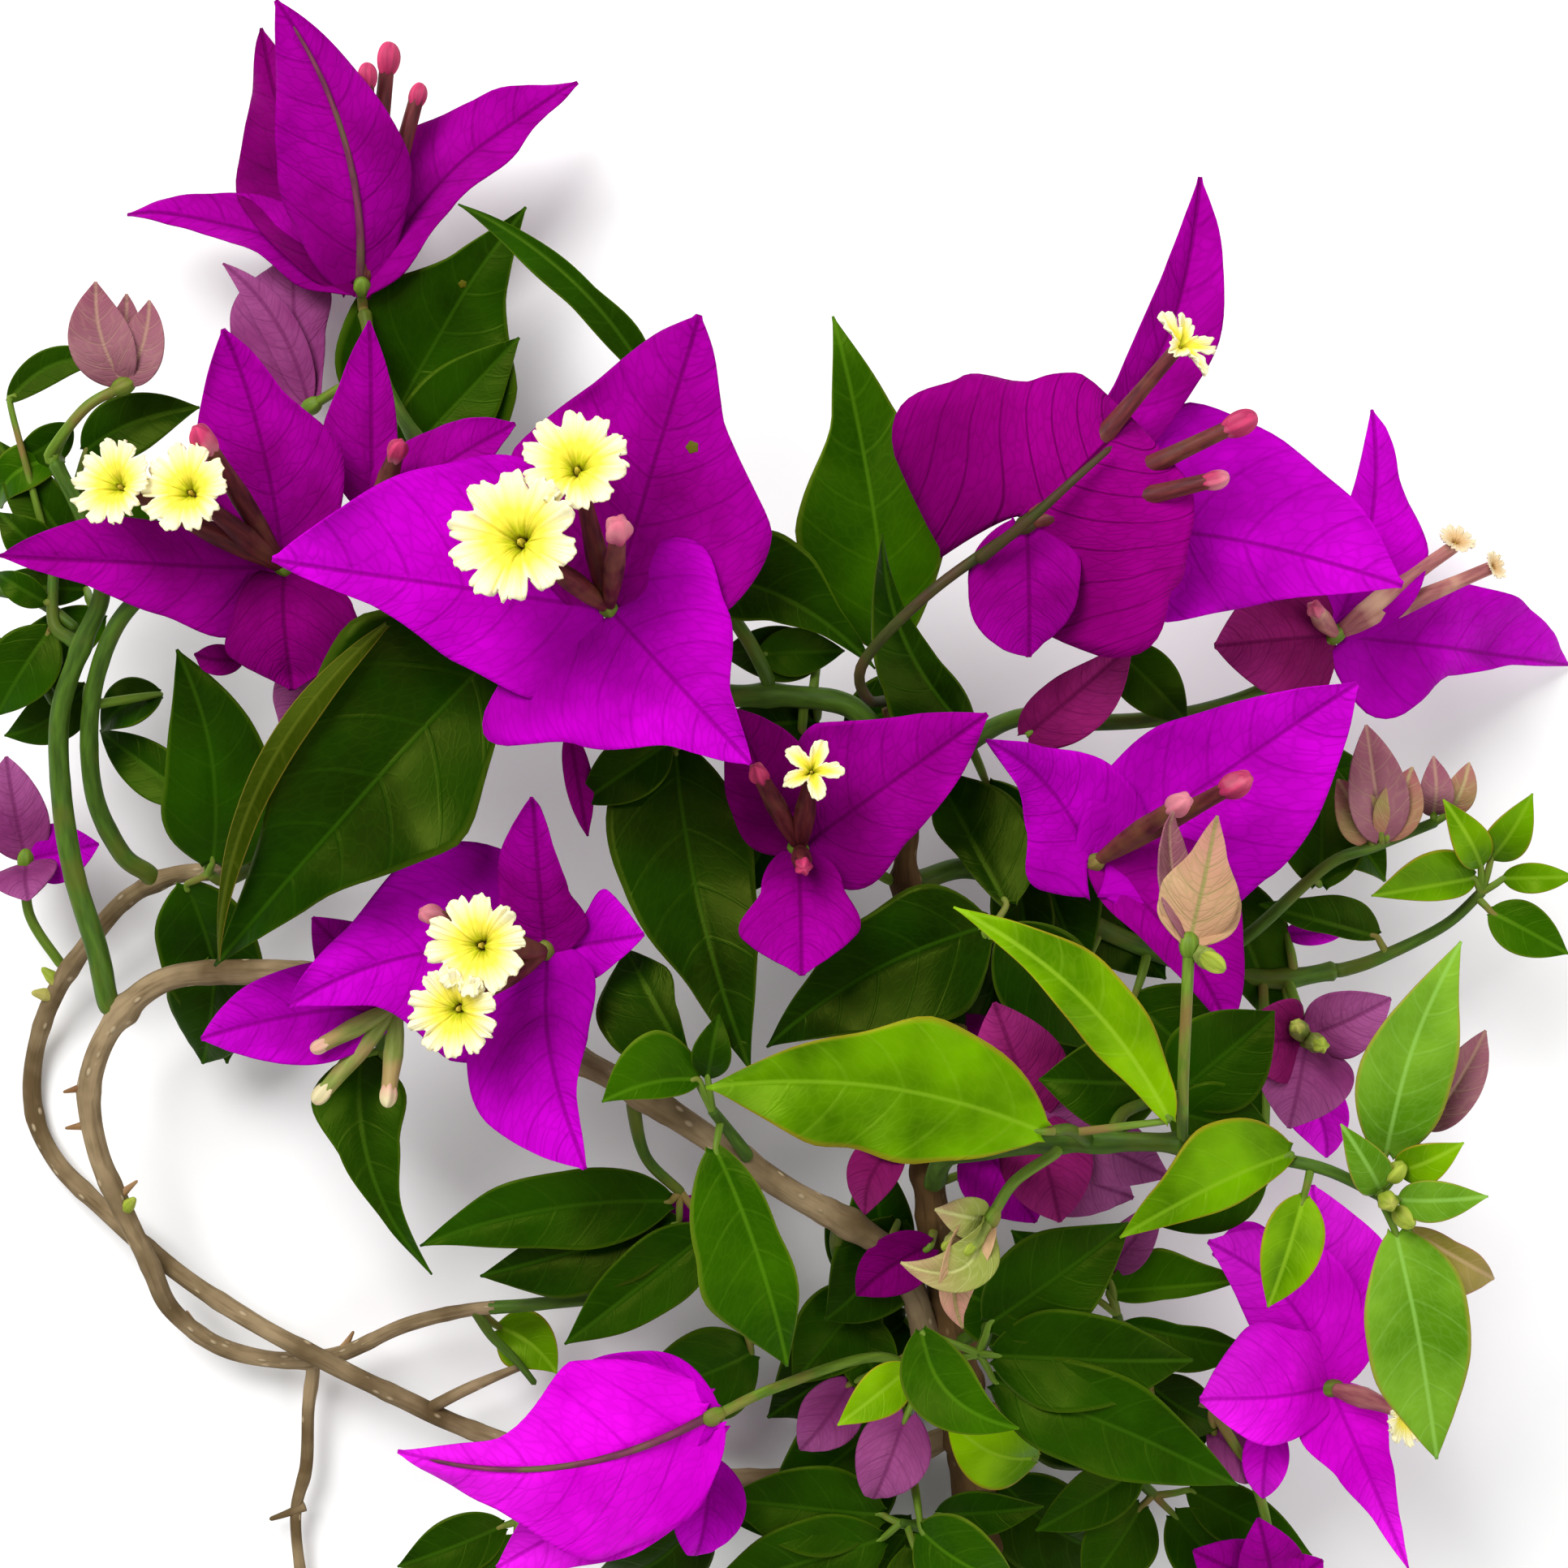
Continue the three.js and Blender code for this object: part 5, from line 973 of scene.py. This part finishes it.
        leaf([44, -84, 18], [31, -92, 18], 8), leaf([50, -87, 16], [65, -95, 16], 8),
        leaf([42, -81, 19], [53, -80, 21], 8),
    ]],
    "leaves_low_right": ["lower_right_bough", "mid dark dark bract_pale",
        [[44, -76.8, 24], [42, -71, 28], [41, -65, 30]], [
        leaf([40, -62.6, 30], [57, -61, 32], 9, 3, 5.2, 2.8, 1.4, 1.4, 1),
        leaf([42, -66.6, 30], [58, -69.8, 31], 8, 1.4, 1.5, 1.6, 2.6, 4.5, 3),
        leaf([38, -63, 30], [28, -55, 34], 9), leaf([40, -59.6, 30], [46.4, -51.4, 36], 6),
    ]],
    "leaves_low_left": ["outer_whip", "dark", [[-26, -83.6, 6.8], [-30, -88, 9], [-33, -91, 11]], [
        leaf([-34.6, -91.4, 11], [-47.6, -96.4, 12], 8), leaf([-33, -93, 11], [-38, -103, 12], 8),
    ]],
}

# Leaves and bracts further back: foot, tip, width and tone
BEHIND = {
    "leaves_behind_right": [
        [29, -3, 30, 37, -24, 27, 14, "dark"], [25, 0, 34, 35, -11, 31, 10, "deep"],
        [27, -20, 30, 20, -36, 27, 14, "deep"], [34, -28, 26, 25.4, -46, 22, 16, "dark"],
        [43, -27, 26, 59, -43, 24, 17, "dark"], [36, -8, 24, 47, -24, 22, 14, "deep"],
        [52, -12, 20, 60, -30, 20, 12, "dark"], [62, -4, 22, 74, -12, 24, 11, "mid"],
        [58, -2, 18, 72, 2, 20, 12, "dark"], [28, -9, 32, 30, -25, 29, 8, "deep"],
        [2, 4, 36, -6, -14, 33, 12, "deep"], [8, 7, 36, 21, 12, 33, 10, "dark"],
        [4, 15, 40, -8, 16, 39, 7, "deep"], [4, 8, 38, -8, 8, 37, 7, "deep"],
    ],
    "leaves_behind_left": [
        [-84, 21, 28, -96, 17, 27, 7, "mid"], [-86, 12, 26, -96, 6, 25, 7, "dark"],
        [-76, 30, 30, -90, 38, 30, 6, "dark"], [-35, -67, 10, -28, -72.6, 12, 8, "fresh"],
        [-70, -22, 18, -71.6, -34.4, 12, 13, "dark"], [-77, 11, 26, -84, 6.4, 25, 7, "dark"],
        [-86, 24, 30, -97, 25.4, 28, 5, "dark"], [-88, 15, 28, -97.4, 12, 27, 6, "deep"],
        [-88, 44, 34, -95, 40, 33, 5, "dark"], [-89, 40, 34, -96.4, 34, 32, 6, "mid"],
    ],
    "leaves_behind_trunk": [
        [14, -54, 22, 5, -66, 20, 13, "dark"], [22, -48, 24, 35, -46, 24, 12, "deep"],
        [25, -60, 18, 37, -67, 18, 11, "dark"], [15, -66, 12, -2, -78, 10, 17, "deep"],
        [14, -76, 10, -2, -88, 7, 15, "dark"], [13, -84, 8, -6, -91, 5, 14, "deep"],
        [16, -91, 6, 7, -103, 4, 12, "deep"], [28, -72, 14, 46, -84, 10, 17, "deep"],
        [27, -86, 8, 44, -95, 5, 15, "dark"], [28, -70, 16, 42, -70, 18, 10, "deep"],
        [20, -40, 30, 6, -42, 30, 12, "deep"], [28, -92, 5, 40, -103, 3, 14, "dark"],
        [17, -92, 20, 29, -99, 22, 12, "mid"], [31, -83, 18, 20, -77.6, 21, 9, "lime"],
        [30, -66, 26, 19, -61, 28, 10, "dark"], [-4, -70, 14, -18, -76, 12, 14, "dark"],
        [45, -74, 26, 54, -79, 25, 9, "deep"], [59, -49, 30, 46, -54.4, 28, 7, "dark"],
        [-10, -90, 10, -24, -98, 8, 13, "deep"],
    ],
    "bracts_behind": [
        [24, -44, 36, 31, -54, 34, 12, "magenta"], [30, -45, 34, 43, -51, 33, 11, "pale"],
        [22, -30, 36, 30, -44, 34, 13, "deep"], [18, -57, 28, 9, -63, 24, 8, "deep"],
        [15, -78, 20, 11, -88, 18, 10, "pale"], [8, -74, 18, 2, -82, 17, 8, "pale"],
        [-8, -52, 22, -17, -58, 20, 6, "magenta"], [62, -18.4, 20, 70, -17, 20, 3.4, "hot"],
        [63, -36.6, 22, 66.8, -46, 20, 8, "hot"], [60, -57, 22, 52.8, -58, 20, 7, "hot"],
        [53, -80, 24, 58, -86, 22, 7, "pale"], [14, -44, 31, 10, -53, 29, 7, "wine"],
        [-9, -84, 24, -11, -95, 22, 10, "bright"], [60, -79, 26, 59, -88, 24, 6, "hot"],
        [-54.6, 13.6, 36, -62, 6.6, 34, 8, "pale"], [-67, 15.4, 36, -72.6, 16, 35, 4, "deep"],
        [-26.4, 6, 42, -24.2, -6.4, 40, 3.6, "deep"],
    ],
}

# Green buds at the end of a spray: tips
BUDS = {"leaves_end": [[75.4, -47.8, 71], [74.4, -51.4, 71.4], [76.4, -53.4, 70]]}

# Finishes of the tubes, open stars and closed buds, where a bloom differs
FLOWER_TONES = {
    "bloom_mid_left_rear": ["tube_green", "star", "bud_cream"],
    "bloom_far_right": ["tube_faded", "star_faded", "bud_pink"],
    "bloom_low_right": ["tube_faded", "star", "bud_cream"],
    "bud_bloom_front": ["tube_green", "star", "bud_green"],
    "curly_bud": ["tube_green", "star", "bud_green"],
    "bloom_pink_right": ["tube_green", "star", "bud_green"],
}
# Blooms with a pointed star or a darker stalk, and bracts with a rib or a stalk over them
POINTED = {"bloom_small_centre", "bloom_right"}
STALK_TONES = {"bloom_right": "stalk_dark"}
RIBS = {("bloom_top_left", 0), ("bloom_low_left", 0)}
MIDRIB_STALK = {
    "bloom_right": [[24, 27.6, 61], [30, 32.4, 64.6], [35.6, 37.4, 66.6], [40.4, 41.6, 66.4]],
}

# Limbs that turn green from a share of their length on, or are thinner than their solids
GREEN_FROM = {"left_whip": 0.86}
THINNER = {"outer_whip": 0.82, "left_whip": 0.9, "dead_twig": 0.85}
# Solids that a limb stands for, where it isn't the one of its own name
STANDS_FOR = {
    "trunk": ["main_stem", "centre_bough"],
    "left_whip": ["left_bough", "left_bough_bend", "left_bough_return", "left_green_tip"],
    "outer_whip": ["outer_bough", "outer_bough_bend", "outer_bough_tip"],
}

# Small side thorns of the boughs: foot on the bough, tip
THORNS = [
    [[-6, -46.9, 33], [-7.4, -50.4, 33]], [[-88, -36, 18], [-90.4, -36.6, 18]],
    [[-89.4, -41, 14], [-92, -41.4, 14]], [[-82, -50, 12], [-79.6, -48, 12]],
    [[-46.6, -25.6, 30], [-48, -28.4, 30]], [[-72, -67, 8], [-73.6, -64, 8]],
    [[-55, -70, 9], [-53.4, -67.2, 9]], [[-21, -63.4, 18], [-20, -66.6, 18]],
]
# Small green buds on the boughs: bough, foot, tip
GREEN_BUDS = [
    ["outer_whip", [-89.8, -25, 8], [-92.4, -22.6, 9]],
    ["outer_whip", [-89.8, -27, 8], [-92.6, -26.6, 10]],
    ["left_whip", [-81.4, -52.6, 16], [-79.2, -50.2, 19]],
]
# Thin side twigs: path, radii, finish
TWIGS = [
    [[[-43.6, -76.9, 10.4], [-40, -75, 12], [-36, -73.2, 13], [-32, -71.6, 12]], [0.9, 0.8, 0.5], "bark"],
    [[[-38, -64.9, 16.4], [-36, -68, 15], [-33, -71, 14], [-30.6, -74, 12]], [0.8, 0.6, 0.45], "green_stem"],
    [[[-97.6, 24, 30], [-92, 22.6, 32], [-87, 19, 34]], [0.8, 0.8, 0.7], "green_stem"],
    [[[-97.6, 17.8, 28], [-93, 15, 28], [-89.6, 9.6, 31]], [0.8, 0.8, 0.7], "green_stem"],
    [[[-59, -89, 4.4], [-61.6, -90, 4.6], [-63.4, -90.6, 4.2]], [0.7, 0.5, 0.3], "bark"],
]
# Pale scars: the piece, the point of the middle plane through which its blade is seen there, half its breadth
SCARS = [["leaves_of_leaves_top_left", -39.6, 61.6, 0.55], ["bracts_bloom_centre", -11.3, 41.5, 0.75]]

# Shares of the radius by which a limb swells where another limb or a stem leaves it, and by which it is rough
LIMB_SWELLING = 0.28
STEM_SWELLING = 0.22
ROUGH = {"bark": 0.055, "green_stem": 0.02, "green_end": 0.03}
OVERLAP = 0.003  # share of its length over which a green end covers the bark

# Limbs
carriers = {}
leaving = {key: [] for key in LIMBS}
for key, (on, slot, radii, path) in LIMBS.items():
    points = [at(place) for place in path]
    line = grow_from(carriers[on], points) if on else Line(points)
    carriers[key] = (line, [radius * THINNER.get(key, 1) for radius in radii])
    if on:
        leaving[on].append((nearest(carriers[on][0], points[0]), LIMB_SWELLING))
stems = [(row[0], row[3]) for row in BLOOMS.values()] + [(row[0], row[2]) for row in SPRAYS.values()]
for on, path in stems:
    leaving[on].append((nearest(carriers[on][0], at(path[0])), STEM_SWELLING))


def finishes_of(tones, kind):
    """Finishes by their short names, of this kind unless they name another."""
    return [tone if "_" in tone else kind + tone for tone in tones.split()]


def nearest_root(point):
    """The place nearest to a point on the middle lines of the limbs."""
    roots = [spot_near(line, point) for line, radii in carriers.values()]
    return min(roots, key=lambda place: np.linalg.norm(place - point))


for key, (on, slot, radii, path) in LIMBS.items():
    line, radii = carriers[key]
    # The trunk's bark is painted shade: the same bark, darker, because it lies in shade under the leaves
    tone = "bark_painted_shade" if key == "trunk" else slot
    green = GREEN_FROM.get(key, 1.0)
    parts = [rod(line, radii, tone, LIMB_ROD, (0.0, green), ROUGH[slot], dice_for(key), leaving[key],
                 bool(on) and green == 1)]
    if green < 1:
        parts.append(rod(line, radii, "green_stem", LIMB_ROD, (green - OVERLAP, 1.0), ROUGH["green_end"],
                         dice_for(key), leaving[key]))
    finish_piece("skin_of_" + key, parts, STANDS_FOR.get(key, [key]))

# Blooms
for name, (on, tones, heart, stalk, bracts, flowers) in BLOOMS.items():
    dice = dice_for(name)
    centre = at(heart)
    line = grow_from(carriers[on], [at(place) for place in [*stalk, heart]])
    tones = finishes_of(tones, "bract_")
    skin = STALK_TONES.get(name, "stalk")
    stems = [rod(line, [STALK_RADIUS], skin, round_end=False),
             knob(centre, unit(centre - line.at(0.8)[0]), RECEPTACLE_RADIUS * 0.7, RECEPTACLE_RADIUS, skin)]
    if name in MIDRIB_STALK:
        over = Line([at(place) for place in MIDRIB_STALK[name]])
        stems.append(rod(over, [0.75, 0.7, 0.55, 0.4], skin))
    finish_piece("stalk_" + name, stems, None)
    blades = []
    for place, (tip, width, bends) in enumerate(bracts):
        end = at(tip)
        foot = out_from(centre, end) - bends.get("sink", 0) * UP
        blades.append(blade(foot, end, width, bends, dice, tones[place % len(tones)]))
        if (name, place) in RIBS:
            blades.append(raised_rib(foot, end, bends, "rib"))
    finish_piece("bracts_" + name, blades, [name])
    parts = []
    for tip, size, *facing in flowers:
        end = at(tip)
        kinds = FLOWER_TONES.get(name, ("tube_maroon", "star", "bud_pink"))
        pattern = STAR_POINTED if name in POINTED else STAR
        parts += flower(out_from(centre, end), end, size, facing, dice, pattern, *kinds)
    if parts:
        finish_piece("flowers_" + name, parts, None)

# Sprays
for name, (on, tones, path, leaves) in SPRAYS.items():
    dice = dice_for(name)
    line = grow_from(carriers[on], [at(place) for place in path])
    tones = finishes_of(tones, "leaf_")
    twig = [rod(line, [1.0, 0.8, 0.7], "green_stem")]
    blades = []
    for place, (foot, tip, width, bends) in enumerate(leaves):
        start = at(foot)
        end = at(tip)
        root = line.at(min(max(nearest(line, start), 0.15), 0.97))[0]
        blades.append(blade(start, end, width, bends, dice, tones[place % len(tones)]))
        middle = root + (start - root) * 0.55 + 0.3 * UP
        petiole = Line([root, middle, start, start + unit(end - start) * PAST])
        twig.append(rod(petiole, [PETIOLE_RADIUS, PETIOLE_RADIUS * 0.85, 0.4], "stalk"))
    for bud in BUDS.get(name, []):
        place = at(bud)
        start = spot_near(line, place)
        twig.append(rod(Line([start, (start + place) / 2, place]), [0.5], "stalk"))
        twig.append(knob(place, unit(place - start), 1.2, 1.7, "bud_green", 0.1))
    finish_piece("leaves_of_" + name, blades, [name])
    finish_piece("twig_" + name, twig, None)

# Leaves and bracts further back, each on its own stalk from the nearest limb
for name, rows in BEHIND.items():
    dice = dice_for(name)
    blades = []
    stalks = []
    for *places, width, tone in rows:
        tone = ("bract_" if name.startswith("bract") else "leaf_") + tone
        start = at(places[:3])
        end = at(places[3:])
        root = nearest_root(start)
        bends = {"bow": dice.uniform(0.5, 3), "sway": dice.uniform(-1.5, 1.5), "roll": dice.uniform(-22, 22)}
        blades.append(blade(start, end, width, bends, dice, tone))
        middle = (root + start) / 2 + 0.12 * np.linalg.norm(root - start) * UP
        stalk = Line([root, middle, start, start + unit(end - start) * PAST])
        stalks.append(rod(stalk, [STALK_RADIUS, 0.6, 0.4], "stalk"))
    finish_piece(name, blades, None)
    finish_piece("stalks_" + name, stalks, None)

# The rolled rim of the large leaf, seen from its paler side
rim = blade(at([-49, 19.6, 54]), at([-69.6, -21.8, 48]), 3.8, {"bow": 4.6, "sway": -4.6, "fold": -20},
            dice_for("rim"), "leaf_rim")
finish_piece("rolled_leaf_rim", [rim], None)

thorns = []
for foot, tip in THORNS:
    start = at(foot)
    root = nearest_root(start)
    end = root + unit(at(tip) - start) * THORN
    thorns.append(rod(Line([root, (root + end) / 2 + 0.2 * UP, end]), [0.9, 0.5, 0.18], "thorn"))
finish_piece("thorns", thorns, None)

buds = []
for on, foot, tip in GREEN_BUDS:
    root = spot_near(carriers[on][0], at(foot))
    end = root + unit(at(tip) - at(foot)) * BUD
    buds.append(rod(Line([root, (root + end) / 2, end]), [1.0, 0.9, 0.3], "bud_green"))
finish_piece("small_bough_buds", buds, None)

twigs = [rod(Line([at(place) for place in path]), radii, tone) for path, radii, tone in TWIGS]
finish_piece("side_twigs", twigs, None)

bpy.context.view_layer.update()
lens = Vector((-FOOT[0], -FOOT[1], EYE - FOOT[2])) * MM
scars = []
for holder, across, upward, size in SCARS:
    aim = Vector(at([across, upward, MID])) * MM - lens
    met, spot, normal = bpy.data.objects[holder].ray_cast(lens, aim)[:3]
    if met:
        scars.append(knob(np.array(spot) / MM, np.array(normal), size, 0.12, "star", 0.12))
finish_piece("pale_scars", scars, None)

for pattern in (LEAF, BRACT, LIMB_ROD, STALK_ROD, KNOB, STAR, STAR_POINTED):
    bpy.data.objects.remove(pattern)

# The pale floor, the camera straight above and the soft light
bpy.ops.mesh.primitive_plane_add(size=6, location=(0, 0, -0.0002))
floor = bpy.context.object
floor.name = "studio_floor"
floor.data.materials.append(new_material("pale_matt_floor", paper_skin))

eye = bpy.data.cameras.new("camera")
eye.sensor_width = 36
eye.lens = eye.sensor_width * (EYE - MID) / FRAME
eye.clip_start = 0.01
camera = bpy.data.objects.new("camera", eye)
camera.location = lens
bpy.context.collection.objects.link(camera)
bpy.context.scene.camera = camera

world = bpy.data.worlds.new("soft_sky")
bpy.context.scene.world = world
world.use_nodes = True
sky = world.node_tree.nodes["Background"]
sky.inputs["Color"].default_value = (1, 1, 1, 1)
sky.inputs["Strength"].default_value = 0.46


def softbox(name, place, size, power):
    lamp = bpy.data.lights.new(name, "AREA")
    lamp.size = size
    lamp.energy = power
    box = bpy.data.objects.new(name, lamp)
    box.location = place
    box.rotation_euler = (Vector((0, 0, 0.03)) - Vector(place)).to_track_quat("-Z", "Y").to_euler()
    bpy.context.collection.objects.link(box)


softbox("key_light", (-0.4, 0.55, 0.95), 0.6, 13)
softbox("fill_light", (0.8, -0.3, 0.8), 0.8, 5)
bpy.context.scene.view_settings.view_transform = "Standard"
